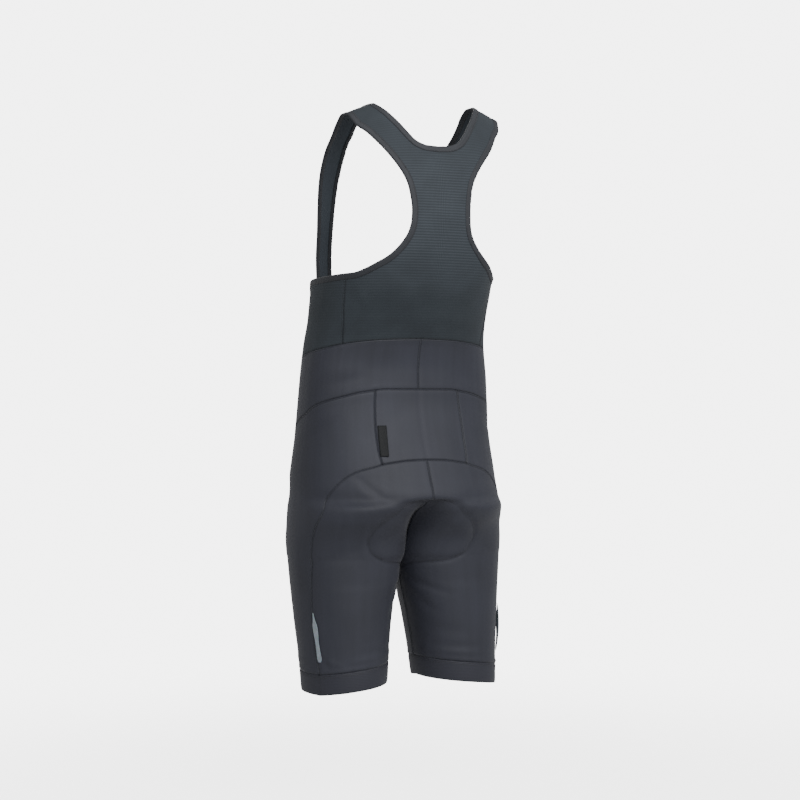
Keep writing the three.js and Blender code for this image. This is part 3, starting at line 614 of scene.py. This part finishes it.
# Polyester warp-knit mesh, knitted in level ribs 4 mm apart with a tiny eyelet between the
# wales: matt, with fine level lines that catch the light, plainest where the cloth is stretched. The eyelets are really 0.8 mm apart
# and are drawn at 1.6 mm so that they show.
mesh_knit, tree, shader = new_material(
    "ribbed warp-knit mesh", Roughness=0.75, Specular_IOR_Level=0.25, Sheen_Weight=0.04, Sheen_Roughness=0.4
)
cloth = cloth_pattern(tree)
ribs = add_node(tree, "ShaderNodeTexWave", {"bands_direction": "Y"},
                {"Vector": cloth, "Scale": 0.314159 / 0.004, "Distortion": 0.6, "Detail": 1.0, "Detail Scale": 2.0})
wales = add_node(tree, "ShaderNodeTexWave", {"bands_direction": "X"},
                 {"Vector": cloth, "Scale": 0.314159 / 0.0016, "Distortion": 0.0})
courses = add_node(tree, "ShaderNodeTexWave", {"bands_direction": "Y"},
                   {"Vector": cloth, "Scale": 0.314159 / 0.0016, "Distortion": 0.0})
eyelets = add_node(tree, "ShaderNodeMath", {"operation": "MULTIPLY"},
                   {0: wales.outputs["Fac"], 1: courses.outputs["Fac"]})
patchy = add_node(tree, "ShaderNodeTexNoise", {}, {"Vector": cloth, "Scale": 22.0, "Detail": 3.0})
level = add_node(tree, "ShaderNodeSeparateXYZ", {}, {"Vector": cloth}).outputs["Y"]
rise = add_node(tree, "ShaderNodeMapRange", {"interpolation_type": "SMOOTHSTEP"},
                {"Value": level, "From Min": -0.3, "From Max": -0.2, "To Min": 0.2, "To Max": 1.0})
drop = add_node(tree, "ShaderNodeMapRange", {"interpolation_type": "SMOOTHSTEP"},
                {"Value": level, "From Min": -0.11, "From Max": -0.04, "To Min": 1.0, "To Max": 0.3})
clear = add_node(tree, "ShaderNodeMath", {"operation": "MULTIPLY"},
                 {0: rise.outputs["Result"], 1: drop.outputs["Result"]})
clear_ribs = add_node(tree, "ShaderNodeMath", {"operation": "MULTIPLY"},
                      {0: clear.outputs["Value"], 1: ribs.outputs["Fac"]})
rib_colour = mixed(tree, clear_ribs.outputs["Value"], linear("#2C3136"), linear("#3B4046"))
eyelet_colour = mixed(tree, eyelets.outputs["Value"], rib_colour, linear("#23292E"))
tree.links.new(mixed(tree, 0.25, eyelet_colour, patchy.outputs["Fac"], "SOFT_LIGHT"),
               shader.inputs["Base Color"])
rib_bump = add_node(tree, "ShaderNodeBump", {}, {"Height": clear_ribs.outputs["Value"], "Strength": 0.3, "Distance": 0.0004})
eyelet_bump = add_node(tree, "ShaderNodeBump", {"invert": True},
                       {"Height": eyelets.outputs["Value"], "Strength": 0.5, "Distance": 0.0003,
                        "Normal": rib_bump.outputs["Normal"]})
tree.links.new(eyelet_bump.outputs["Normal"], shader.inputs["Normal"])

# The same mesh seen from inside, where the straps show it: smoother to the eye, and painted paler than its outer face.
# This is painted light, standing in for the key light that falls on the straps' insides.
mesh_inside_painted_light, tree, shader = new_material("inside of the mesh, painted light", Roughness=0.8, Specular_IOR_Level=0.25)
cloth = cloth_pattern(tree)
grain = add_node(tree, "ShaderNodeTexNoise", {}, {"Vector": cloth, "Scale": 700.0, "Detail": 2.0})
# painted light: the inner face's colour is set paler than the outer mesh's to stand in for the light falling on it
inside_painted_light_colour = mixed(tree, grain.outputs["Fac"], linear("#33383E"), linear("#454B52"))
tree.links.new(inside_painted_light_colour, shader.inputs["Base Color"])
grain_bump = add_node(tree, "ShaderNodeBump", {}, {"Height": grain.outputs["Fac"], "Strength": 0.3, "Distance": 0.0002})
tree.links.new(grain_bump.outputs["Normal"], shader.inputs["Normal"])

shoulder_back = straight((0.318, SHOULDER), (0.186, SHOULDER))
back_centre = straight((0, -342), (0, -62))
back_inner = joined(waist_back.back(), back_centre, neck_back)
bm = bmesh.new()
for side in (1, -1):
    lay_cloth(bm, patch(side_back, shoulder_back, armhole_back, back_inner), 44, 170, side)
bib_back = finish_piece(bm, "back_of_the_bib", [mesh_knit, mesh_inside_painted_light], ["bib_back"])
thicken(bib_back, 1.1, 1)

# ---------------------------------------------------------------- Front of the bib
# A low panel of the same mesh, cut round under the arms from side seam to side seam and
# scooped at the neck, with the roots of the two front straps on it.
lowest = (0.705, -275)
divide = straight(lowest, waist_front.at(0.5))
waist_side = Line(waist_front.t[waist_front.t <= 0.5] * 2, waist_front.around[waist_front.t <= 0.5],
                  waist_front.height[waist_front.t <= 0.5])
half = waist_front.at(0.5)
waist_side = stretch(WAIST, 0.286, float(half[0]))
waist_chest = stretch(WAIST, float(half[0]), 1)
divide = straight(lowest, waist_side.ends()[1])
root = straight(lowest, (0.892, -288))
top = joined(root, scoop.back())
chest_centre = straight((1, -301), (1, -380))
strap_foot = straight((0.75, -246), (0.853, -246))
bm = bmesh.new()
for side in (1, -1):
    lay_cloth(bm, patch(side_back, divide, armhole_front, waist_side), 34, 56, side)
    lay_cloth(bm, patch(divide, chest_centre, top, waist_chest), 34, 56, side)
    lay_cloth(bm, patch(root, strap_foot, armhole_corner, scoop_side), 24, 16, side)
bib_front = finish_piece(bm, "front_of_the_bib", [mesh_knit, mesh_inside_painted_light], ["bib_front"], 0.0004)
thicken(bib_front, 1.1, 1)

# ---------------------------------------------------------------- Front straps
# Two strips of the mesh from the low front over the chest to the shoulder seams, which the
# tension of the legs pulls smooth. Their dark insides show through the left armhole.
shoulder_front = straight((0.682, SHOULDER), (0.814, SHOULDER))
for side, name in ((1, "left"), (-1, "right")):
    bm = bmesh.new()
    lay_cloth(bm, patch(strap_foot, shoulder_front, strap_outer, strap_inner), 14, 110, side)
    strap = finish_piece(bm, "front_strap_" + name, [mesh_knit, mesh_inside_painted_light], ["strap_" + name])
    thicken(strap, 1.1, 1)

# ---------------------------------------------------------------- Edge bindings
# Elastic strips 22 mm wide, folded over the raw edges of the armholes and of the neck and
# coverstitched, so that each shows as a cord-like border about 9 mm wide.

# Knitted elastic binding, its fine cross ribs 1.2 mm apart: a little paler and browner than
# the mesh, matt, and slightly shiny on its folded edge.
binding_elastic, tree, shader = new_material(
    "folded elastic binding", Roughness=0.6, Specular_IOR_Level=0.3, Sheen_Weight=0.03
)
strip = cloth_pattern(tree)
cross_ribs = add_node(tree, "ShaderNodeTexWave", {"bands_direction": "X"},
                      {"Vector": strip, "Scale": 0.314159 / 0.0012, "Distortion": 0.4, "Detail Scale": 3.0})
mottle = add_node(tree, "ShaderNodeTexNoise", {}, {"Vector": strip, "Scale": 60.0, "Detail": 3.0})
strip_colour = mixed(tree, cross_ribs.outputs["Fac"], linear("#202226"), linear("#303237"))
tree.links.new(mixed(tree, 0.3, strip_colour, mottle.outputs["Fac"], "SOFT_LIGHT"),
               shader.inputs["Base Color"])
strip_bump = add_node(tree, "ShaderNodeBump", {}, {"Height": cross_ribs.outputs["Fac"], "Strength": 0.5, "Distance": 0.0003})
tree.links.new(strip_bump.outputs["Normal"], shader.inputs["Normal"])

# The folded strip's profile: mm into the cloth from its edge, and mm off the form.
BINDING_PROFILE = [
    (9.0, 0.0), (8.6, 0.55), (7.6, 0.8), (6.0, 0.62), (4.2, 0.95), (2.2, 1.15), (0.6, 0.95),
    (-0.5, 0.2), (-0.8, -0.8), (-0.4, -1.8), (0.8, -2.3), (3.0, -2.4), (5.5, -2.25), (7.8, -2.15), (8.4, -1.5),
]


def fold_binding(bm, spans, side, inward):
    """A folded strip along spans of edge, each a line with its end-to-end share of the loop."""
    run = 0.0
    for line in spans:
        long = max(8, int(line.length() / 2.5))
        made = bmesh.ops.create_grid(bm, x_segments=long, y_segments=len(BINDING_PROFILE) - 1, size=0.5)["verts"]
        shares = np.array([(v.co.x + 0.5, v.co.y + 0.5) for v in made])
        along, place = np.round(shares[:, 0] * long).astype(int), np.round(shares[:, 1] * (len(BINDING_PROFILE) - 1)).astype(int)
        t = np.linspace(0, 1, long + 1)
        around, height = line.at(t)
        columns = []
        for into, out in BINDING_PROFILE:
            a, h = offset(around, height, np.full(long + 1, into * inward))
            if line.ends()[1][1] == SHOULDER or line.ends()[0][1] == SHOULDER:
                h = np.where(height >= SHOULDER - 1e-6, SHOULDER, h)
            if line.around.min() < 1e-6:
                a = np.where(around < 1e-6, 0, a)
            if line.around.max() > 1 - 1e-6:
                a = np.where(around > 1 - 1e-6, 1, a)
            point, _, _, normal = figure_frame(a, h)
            lift = surface_lift(a, h, side) if out > 0 else 0
            point = point + normal * (out + lift * 0.6 if np.ndim(lift) else np.full(len(a), out))[:, None]
            point[:, 0] = np.where((a <= 1e-9) | (a >= 1 - 1e-9), 0, np.maximum(point[:, 0], 0)) * side
            columns.append(point)
        columns = np.array(columns)
        set_positions(made, stance(columns[place, along], side) * MM)
        layer = flat_map(bm)
        widths = np.array([p[0] if i < 8 else -p[0] for i, p in enumerate(BINDING_PROFILE)])
        for vert, u, v in zip(made, run + shares[:, 0] * line.length(), widths[place]):
            for loop in vert.link_loops:
                loop[layer].uv = (u * MM, v * MM)
        run += line.length()


armhole_loop = [armhole_back, strap_outer.back(), armhole_corner.back(), armhole_front.back()]
for side, name in ((1, "left"), (-1, "right")):
    bm = bmesh.new()
    fold_binding(bm, armhole_loop[:1], side, -1)
    fold_binding(bm, armhole_loop[1:], side, -1)
    bmesh.ops.remove_doubles(bm, verts=bm.verts, dist=0.0012)
    bmesh.ops.recalc_face_normals(bm, faces=bm.faces)
    binding = finish_piece(bm, "armhole_binding_" + name, [binding_elastic], ["binding_armhole_" + name])
    thicken(binding, 0.5)

bm = bmesh.new()
for side in (1, -1):
    fold_binding(bm, [scoop, scoop_side, strap_inner], side, -1)
    fold_binding(bm, [neck_back], side, 1)
bmesh.ops.remove_doubles(bm, verts=bm.verts, dist=0.0012)
bmesh.ops.recalc_face_normals(bm, faces=bm.faces)
neck_binding = finish_piece(bm, "neck_binding", [binding_elastic], ["binding_neck"])
thicken(neck_binding, 0.5)

# ---------------------------------------------------------------- Waist yoke
# Two halves of brushed stretch tricot round the waist, deeper at the front than at the back,
# flatlocked together at the centre back and front and to the mesh above them.

# Nylon and elastane warp-knit tricot: smooth, with a faint silky sheen across its fine wales.
# The wales are really 0.5 mm apart and are drawn at 1.1 mm so that they show.
leg_tricot, tree, shader = new_material(
    "nylon stretch tricot", Roughness=0.6, Specular_IOR_Level=0.32, Sheen_Weight=0.07, Sheen_Roughness=0.35
)
cloth = cloth_pattern(tree)
wales = add_node(tree, "ShaderNodeTexWave", {"bands_direction": "X"},
                 {"Vector": cloth, "Scale": 0.314159 / 0.0011, "Distortion": 0.3, "Detail Scale": 4.0})
stretched = add_node(tree, "ShaderNodeMapping", {}, {"Vector": cloth, "Scale": (90.0, 7.0, 1.0)})
streaks = add_node(tree, "ShaderNodeTexNoise", {}, {"Vector": stretched.outputs["Vector"], "Scale": 1.0, "Detail": 3.0})
melange = add_node(tree, "ShaderNodeTexNoise", {}, {"Vector": cloth, "Scale": 1500.0, "Detail": 1.0})
broad = add_node(tree, "ShaderNodeTexNoise", {}, {"Vector": cloth, "Scale": 9.0, "Detail": 2.0})
streaked = mixed(tree, streaks.outputs["Fac"], linear("#20222A"), linear("#2F313A"))
grained = mixed(tree, melange.outputs["Fac"], streaked, linear("#292A33"))
tree.links.new(mixed(tree, 0.3, grained, broad.outputs["Fac"], "SOFT_LIGHT"), shader.inputs["Base Color"])
wale_bump = add_node(tree, "ShaderNodeBump", {}, {"Height": wales.outputs["Fac"], "Strength": 0.35, "Distance": 0.0002})
grain_bump = add_node(tree, "ShaderNodeBump", {},
                      {"Height": melange.outputs["Fac"], "Strength": 0.25, "Distance": 0.0002,
                       "Normal": wale_bump.outputs["Normal"]})
tree.links.new(grain_bump.outputs["Normal"], shader.inputs["Normal"])

waist = joined(waist_back, waist_front)
yoke_lower = joined(yoke_back, yoke_front)
for side, name in ((1, "left"), (-1, "right")):
    bm = bmesh.new()
    shape = patch(waist, yoke_lower, straight((0, -342), (0, -416)), straight((1, -380), (1, -508)))
    lay_cloth(bm, shape, 140, 32, side)
    yoke = finish_piece(bm, "waist_yoke_" + name, [leg_tricot], ["yoke_" + name])
    thicken(yoke, 1.2)

# ---------------------------------------------------------------- Back pocket panel
# One flat panel across the small of the back, sewn in at its two sides with twin needles.
bm = bmesh.new()
for side in (1, -1):
    lay_cloth(bm, patch(yoke_back, seat_top, straight((0, -416), (0, -520)), pocket_side), 24, 36, side)
pocket = finish_piece(bm, "back_pocket_panel", [leg_tricot], ["pocket_back"])
thicken(pocket, 1.2)

# ---------------------------------------------------------------- Legs
# Each leg is two pieces: the seat and back thigh, and one that runs from the pocket round the
# hip and down the front. The inseam, side seam and seat seams are flatlocked.
centre_back = straight((0, -520), (0, CROTCH))
inseam_back = straight((0, CROTCH), hem_top_back.ends()[0])
rise = straight((1, -508), (1, CROTCH))
inseam_front = straight((1, CROTCH), hem_top_front.ends()[1])


def with_shares(parts):
    """Lines end to end with a stated share of the whole for each."""
    t, around, height, start = [], [], [], 0.0
    for line, share in parts:
        t.append(start + line.t * share)
        around.append(line.around)
        height.append(line.height)
        start += share
    return Line(np.concatenate(t), np.concatenate(around), np.concatenate(height))


for side, name in ((1, "left"), (-1, "right")):
    bm = bmesh.new()
    shape = patch(joined(seat_top, seat_arc), hem_top_back,
                  with_shares([(centre_back, 0.5), (inseam_back, 0.5)]), side_seam)
    lay_cloth(bm, shape, 64, 120, side)
    leg_back = finish_piece(bm, "seat_and_back_leg_" + name, [leg_tricot], ["leg_back_" + name])
    thicken(leg_back, 1.2)

    bm = bmesh.new()
    outer = with_shares([(pocket_side, 4 / 29), (seat_arc, 5 / 29), (side_seam, 20 / 29)])
    inner = with_shares([(rise, 19 / 29), (inseam_front, 10 / 29)])
    lay_cloth(bm, patch(yoke_front, hem_top_front, outer, inner), 120, 150, side)
    leg_front = finish_piece(bm, "front_leg_" + name, [leg_tricot], ["leg_front_" + name])
    thicken(leg_front, 1.2)

# ---------------------------------------------------------------- Hem bands
# A 30 mm band of flat-knitted elastic round the foot of each leg, lapped under the tricot and
# coverstitched along its top. It draws the leg in, so the cloth rolls softly above it.

# Flat-knitted elastic with level ribs 2.2 mm apart: denser, darker and duller than the tricot.
hem_elastic, tree, shader = new_material(
    "flat-knitted hem elastic", Roughness=0.62, Specular_IOR_Level=0.3, Sheen_Weight=0.04
)
cloth = cloth_pattern(tree)
ribs = add_node(tree, "ShaderNodeTexWave", {"bands_direction": "Y"},
                {"Vector": cloth, "Scale": 0.314159 / 0.0022, "Distortion": 0.3, "Detail Scale": 3.0})
melange = add_node(tree, "ShaderNodeTexNoise", {}, {"Vector": cloth, "Scale": 900.0, "Detail": 2.0})
ribbed = mixed(tree, ribs.outputs["Fac"], linear("#25262E"), linear("#2A2B34"))
tree.links.new(mixed(tree, 0.4, ribbed, melange.outputs["Fac"], "SOFT_LIGHT"), shader.inputs["Base Color"])
rib_bump = add_node(tree, "ShaderNodeBump", {}, {"Height": ribs.outputs["Fac"], "Strength": 0.25, "Distance": 0.0003})
tree.links.new(rib_bump.outputs["Normal"], shader.inputs["Normal"])

hem_top = joined(hem_top_back, hem_top_front)
hem_foot = Line(hem_top.t, hem_top.around, hem_top.height - 30)
for side, name in ((1, "left"), (-1, "right")):
    bm = bmesh.new()
    ends = [straight(hem_top.ends()[i], hem_foot.ends()[i]) for i in (0, 1)]
    swell = lambda s, t: 0.35 * np.sin(math.pi * np.clip(t, 0, 1)) - 0.5 * np.exp(-((t - 1) / 0.06) ** 2)
    lay_cloth(bm, patch(hem_top, hem_foot, *ends), 150, 12, side, extra=swell)
    hem = finish_piece(bm, "hem_band_" + name, [hem_elastic], ["hem_" + name])
    thicken(hem, 1.7)

# ---------------------------------------------------------------- Seat pad
# A moulded foam pad faced with brushed microfibre, laid inside the seat and run under the
# crotch to the front. Its channels let it bend, and it thins to a stitched edge.

# Brushed polyester microfibre over foam: very dull, with a short soft nap.
pad_face, tree, shader = new_material("brushed microfibre", Roughness=0.95, Specular_IOR_Level=0.2, Sheen_Weight=0.1)
spot = add_node(tree, "ShaderNodeTexCoord").outputs["Object"]
nap = add_node(tree, "ShaderNodeTexNoise", {}, {"Vector": spot, "Scale": 900.0, "Detail": 4.0})
tree.links.new(mixed(tree, nap.outputs["Fac"], linear("#191B1E"), linear("#26292D")), shader.inputs["Base Color"])
nap_bump = add_node(tree, "ShaderNodeBump", {}, {"Height": nap.outputs["Fac"], "Strength": 0.5, "Distance": 0.0004})
tree.links.new(nap_bump.outputs["Normal"], shader.inputs["Normal"])

bm = bmesh.new()
thinness = bm.verts.layers.float.new("thinness")
for edge, rows in ((pad_edge_back, 60), (pad_edge_front, 44)):
    top_spot, foot = edge.ends()
    middle = with_shares([(straight(top_spot, (top_spot[0], CROTCH)), 0.86), (straight((top_spot[0], CROTCH), foot), 0.14)])
    for side in (1, -1):
        made = bmesh.ops.create_grid(bm, x_segments=30, y_segments=rows, size=0.5)["verts"]
        shares = np.array([(v.co.x + 0.5, v.co.y + 0.5) for v in made])
        s, t = shares[:, 0], shares[:, 1]
        m, e = middle.at(t), edge.at(0.06 + 0.94 * t)
        around, height = m[0] + s * (e[0] - m[0]), m[1] + s * (e[1] - m[1])
        point, _, _, normal = figure_frame(around, height)
        on_middle = ((around <= 1e-9) | (around >= 1 - 1e-9)) & (height >= CROTCH - 1e-6)
        spread = np.where(on_middle, np.maximum(np.sqrt(np.maximum(0, 1 - normal[:, 0] ** 2)), 0.19), 1)
        normal[:, 0] = np.where(on_middle, 0, normal[:, 0])
        normal /= np.linalg.norm(normal, axis=1, keepdims=True)
        point = point - normal * (4.0 / spread - hollow(around, height))[:, None]
        point[:, 0] = np.where(on_middle, 0, np.maximum(point[:, 0], 0)) * side
        set_positions(made, point * MM)
        edge_gap = np.minimum(distance_to(flat(around, height), edge, 4), 60)
        channel = np.exp(-(((edge_gap - 22) / 2.2) ** 2)) + np.exp(-(((edge_gap - 40) / 2.2) ** 2))
        value = np.clip(1 - np.exp(-edge_gap / 6), 0, 1) * (1 - 0.45 * channel)
        for vert, v in zip(made, value):
            vert[thinness] = v
bmesh.ops.remove_doubles(bm, verts=bm.verts, dist=0.00005)
bmesh.ops.recalc_face_normals(bm, faces=bm.faces)
weights = [vert[thinness] for vert in bm.verts]
upper = max(bm.verts, key=lambda v: v.co.y)
if upper.normal.y < 0:
    bmesh.ops.reverse_faces(bm, faces=bm.faces)
pad = finish_piece(bm, "seat_pad_inside", [pad_face], ["seat_pad"], 1e-9)
group = pad.vertex_groups.new(name="thickness")
for index, value in enumerate(weights):
    group.add([index], float(value), "REPLACE")
thicken(pad, 4.3)
pad.modifiers["wall"].vertex_group = "thickness"
pad.modifiers["wall"].thickness_vertex_group = 0.25

# ---------------------------------------------------------------- Seam threads
# Flatlocked seams show as two rows of stitches 3 mm long either side of the join. The pad and
# the bindings are held by rows of the same thread, and it stands proud of the cloth.

# Textured nylon thread: dark and softly shiny.
seam_thread, _, _ = new_material("textured nylon thread", Base_Color=linear("#222329"), Roughness=0.6)
STITCH = 3.0  # mm
THREAD = 0.3  # mm, its half width


def stitch(bm, line, side, aside=0.0, lift=0.1, radius=THREAD):
    """A row of stitches along a line, some mm to its left."""
    count = max(8, int(line.length() / 0.75))
    around, height = line.at(np.linspace(0, 1, count + 1))
    if aside:
        around, height = offset(around, height, np.full(count + 1, float(aside)))
    point, _, _, normal = figure_frame(around, height)
    point = point + normal * (surface_lift(around, height, side) + lift)[:, None]
    point[:, 0] *= side
    point = stance(point, side)
    normal[:, 0] *= side
    along = np.gradient(point, axis=0)
    along /= np.linalg.norm(along, axis=1, keepdims=True)
    across = np.cross(normal, along)
    run = np.arange(count + 1) * 0.75
    plump = radius * (0.35 + 0.65 * np.abs(np.sin(math.pi * run / STITCH)) ** 0.6)
    made = bmesh.ops.create_grid(bm, x_segments=count, y_segments=5, size=0.5)["verts"]
    shares = np.array([(v.co.x + 0.5, v.co.y + 0.5) for v in made])
    i, turn = np.round(shares[:, 0] * count).astype(int), shares[:, 1] * 2 * math.pi
    ring = np.cos(turn)[:, None] * across[i] + np.sin(turn)[:, None] * normal[i]
    set_positions(made, (point[i] + plump[i][:, None] * ring) * MM)


def thread_piece(name, rows, material=seam_thread):
    bm = bmesh.new()
    for line, side, aside, lift in rows:
        stitch(bm, line, side, aside, lift)
    bmesh.ops.remove_doubles(bm, verts=bm.verts, dist=0.000002)
    bmesh.ops.recalc_face_normals(bm, faces=bm.faces)
    return finish_piece(bm, name, [material], (), 1e-9)


def twin(line, apart=1.5, lift=0.15):
    return [(line, side, aside, lift) for side in (1, -1) for aside in (apart, -apart)]


thread_piece("bib_seam_stitches", twin(side_back) + twin(straight((0.75, -246), (0.853, -246))))
thread_piece("waist_seam_stitches", twin(waist))
thread_piece("yoke_seam_stitches", twin(yoke_lower) + [(straight((0, -345), (0, -414)), s, 1.6, 0.15) for s in (1, -1)])
thread_piece("pocket_side_stitches", [(pocket_side, s, a, 0.15) for s in (1, -1) for a in (-1.2, 2.2)])
thread_piece("seat_seam_stitches", twin(joined(seat_top, seat_arc)) + [(straight((0, -523), (0, -655)), s, 1.8, 0.15) for s in (1, -1)])
thread_piece("side_seam_stitches", twin(side_seam))
thread_piece("inseam_stitches", twin(straight((0, -690), hem_top_back.ends()[0])) + [(straight((1, -383), (1, -650)), s, a, 0.15) for s in (1,) for a in (-1.6,)] + [(straight((1, -383), (1, -650)), -1, -1.6, 0.15)])
hem_side = straight(hem_top_back.ends()[1], (0.418, -865))
thread_piece("hem_seam_stitches", [(hem_top, s, a, 0.15) for s in (1, -1) for a in (2.0, 4.5)]
             + [(hem_side, s, 0.0, 0.35) for s in (1, -1)])
thread_piece("pad_edge_stitches", [(edge, s, a, 0.1) for edge in (pad_edge_back, pad_edge_front) for s in (1, -1) for a in (0, 2.6)])
thread_piece("armhole_binding_stitches", [(line, s, -7.2, 0.75) for line in armhole_loop for s in (1, -1)])
thread_piece("neck_binding_stitches", [(line, s, a, 0.75) for line, a in ((scoop, -7.2), (scoop_side, -7.2), (strap_inner, -7.2), (neck_back, 7.2)) for s in (1, -1)])

# ---------------------------------------------------------------- Reflective tabs
# A leaf of silver-grey reflective film on a tape, sewn into each side seam above the hem.

# Glass-bead retroreflective film: a grey satin with a fine sparkle, brighter than the cloth.
reflective, tree, shader = new_material("glass-bead reflective film", Metallic=0.2, Roughness=0.4)
spot = add_node(tree, "ShaderNodeTexCoord").outputs["Object"]
beads = add_node(tree, "ShaderNodeTexVoronoi", {}, {"Vector": spot, "Scale": 1400.0})
rubbed = add_node(tree, "ShaderNodeTexNoise", {}, {"Vector": spot, "Scale": 130.0, "Detail": 4.0})
film = mixed(tree, rubbed.outputs["Fac"], linear("#59636C"), linear("#98A2A9"))
tree.links.new(mixed(tree, 0.25, film, beads.outputs["Color"], "SOFT_LIGHT"), shader.inputs["Base Color"])
bead_bump = add_node(tree, "ShaderNodeBump", {}, {"Height": beads.outputs["Distance"], "Strength": 0.3, "Distance": 0.0002})
tree.links.new(bead_bump.outputs["Normal"], shader.inputs["Normal"])

leaf_width = smooth([0, 0.12, 0.3, 0.42, 0.6, 0.8, 0.92, 1], [1, 3.5, 9, 8.5, 6, 6.5, 7.5, 4])


def lay_strip(bm, top_spot, foot, width, lift, side, columns, rows, curl):
    """A strip over the cloth down a centre line, of a width in mm at each share of it."""
    made = bmesh.ops.create_grid(bm, x_segments=columns, y_segments=rows, size=0.5)["verts"]
    shares = np.array([(v.co.x, v.co.y + 0.5) for v in made])
    around = top_spot[0] + shares[:, 1] * (foot[0] - top_spot[0])
    height = top_spot[1] + shares[:, 1] * (foot[1] - top_spot[1])
    _, across, _, _ = figure_frame(around, height)
    around = around + shares[:, 0] * width(shares[:, 1]) / np.linalg.norm(across, axis=1)
    point, _, _, normal = figure_frame(around, height)
    out = surface_lift(around, height, side) + lift + curl(shares[:, 0], shares[:, 1])
    point = point + normal * out[:, None]
    point[:, 0] *= side
    set_positions(made, point * MM)
    bmesh.ops.recalc_face_normals(bm, faces=bm.faces)
    for face in bm.faces:
        face.normal_update()
    middle_face = min(bm.faces, key=lambda f: (f.calc_center_median() - Vector(point[len(point) // 2] * MM)).length)
    away = Vector(normal[len(point) // 2] * np.array([side, 1, 1]))
    if middle_face.normal.dot(away) < 0:
        bmesh.ops.reverse_faces(bm, faces=bm.faces)


for side, name in ((1, "left"), (-1, "right")):
    bm = bmesh.new()
    curl = 0.6 if side > 0 else 4.0  # the right one stands away from the leg along its rear edge
    ripple = lambda s, t: 0.3 * (1 + np.sin(9 * t + 1.5)) * (0.5 + s) + curl * (0.5 - s) ** 1.5 * np.sin(math.pi * t) ** 0.7
    lay_strip(bm, (0.424, -744), (0.412, -816), leaf_width, 0.9, side, 10, 48, ripple)
    tab = finish_piece(bm, "reflective_leaf_" + name, [reflective], ["reflective_tab_" + name])
    thicken(tab, 0.5)

# ---------------------------------------------------------------- Label
# A bare folded label of black woven satin, caught in the pocket's left side seam.

# Woven polyester satin: black, with a soft gloss across its fine weft, drawn at 0.7 mm.
satin, tree, shader = new_material("black woven satin", Roughness=0.45, Specular_IOR_Level=0.15)
spot = add_node(tree, "ShaderNodeTexCoord").outputs["Object"]
weft = add_node(tree, "ShaderNodeTexWave", {"bands_direction": "Z"}, {"Vector": spot, "Scale": 0.314159 / 0.0007, "Distortion": 0.2})
tree.links.new(mixed(tree, weft.outputs["Fac"], linear("#0C0D0F"), linear("#15171A")), shader.inputs["Base Color"])
weft_bump = add_node(tree, "ShaderNodeBump", {}, {"Height": weft.outputs["Fac"], "Strength": 0.4, "Distance": 0.0002})
tree.links.new(weft_bump.outputs["Normal"], shader.inputs["Normal"])

bm = bmesh.new()
free_edge = lambda s, t: 0.5 + 1.3 * (0.5 - s) ** 2 + 0.3 * np.sin(5 * t)
lay_strip(bm, (0.121, -470), (0.124, -515), lambda t: 13 + 0 * t, 0.6, 1, 10, 30, free_edge)
label = finish_piece(bm, "bare_label", [satin], ["label_tab"])
thicken(label, 0.5)
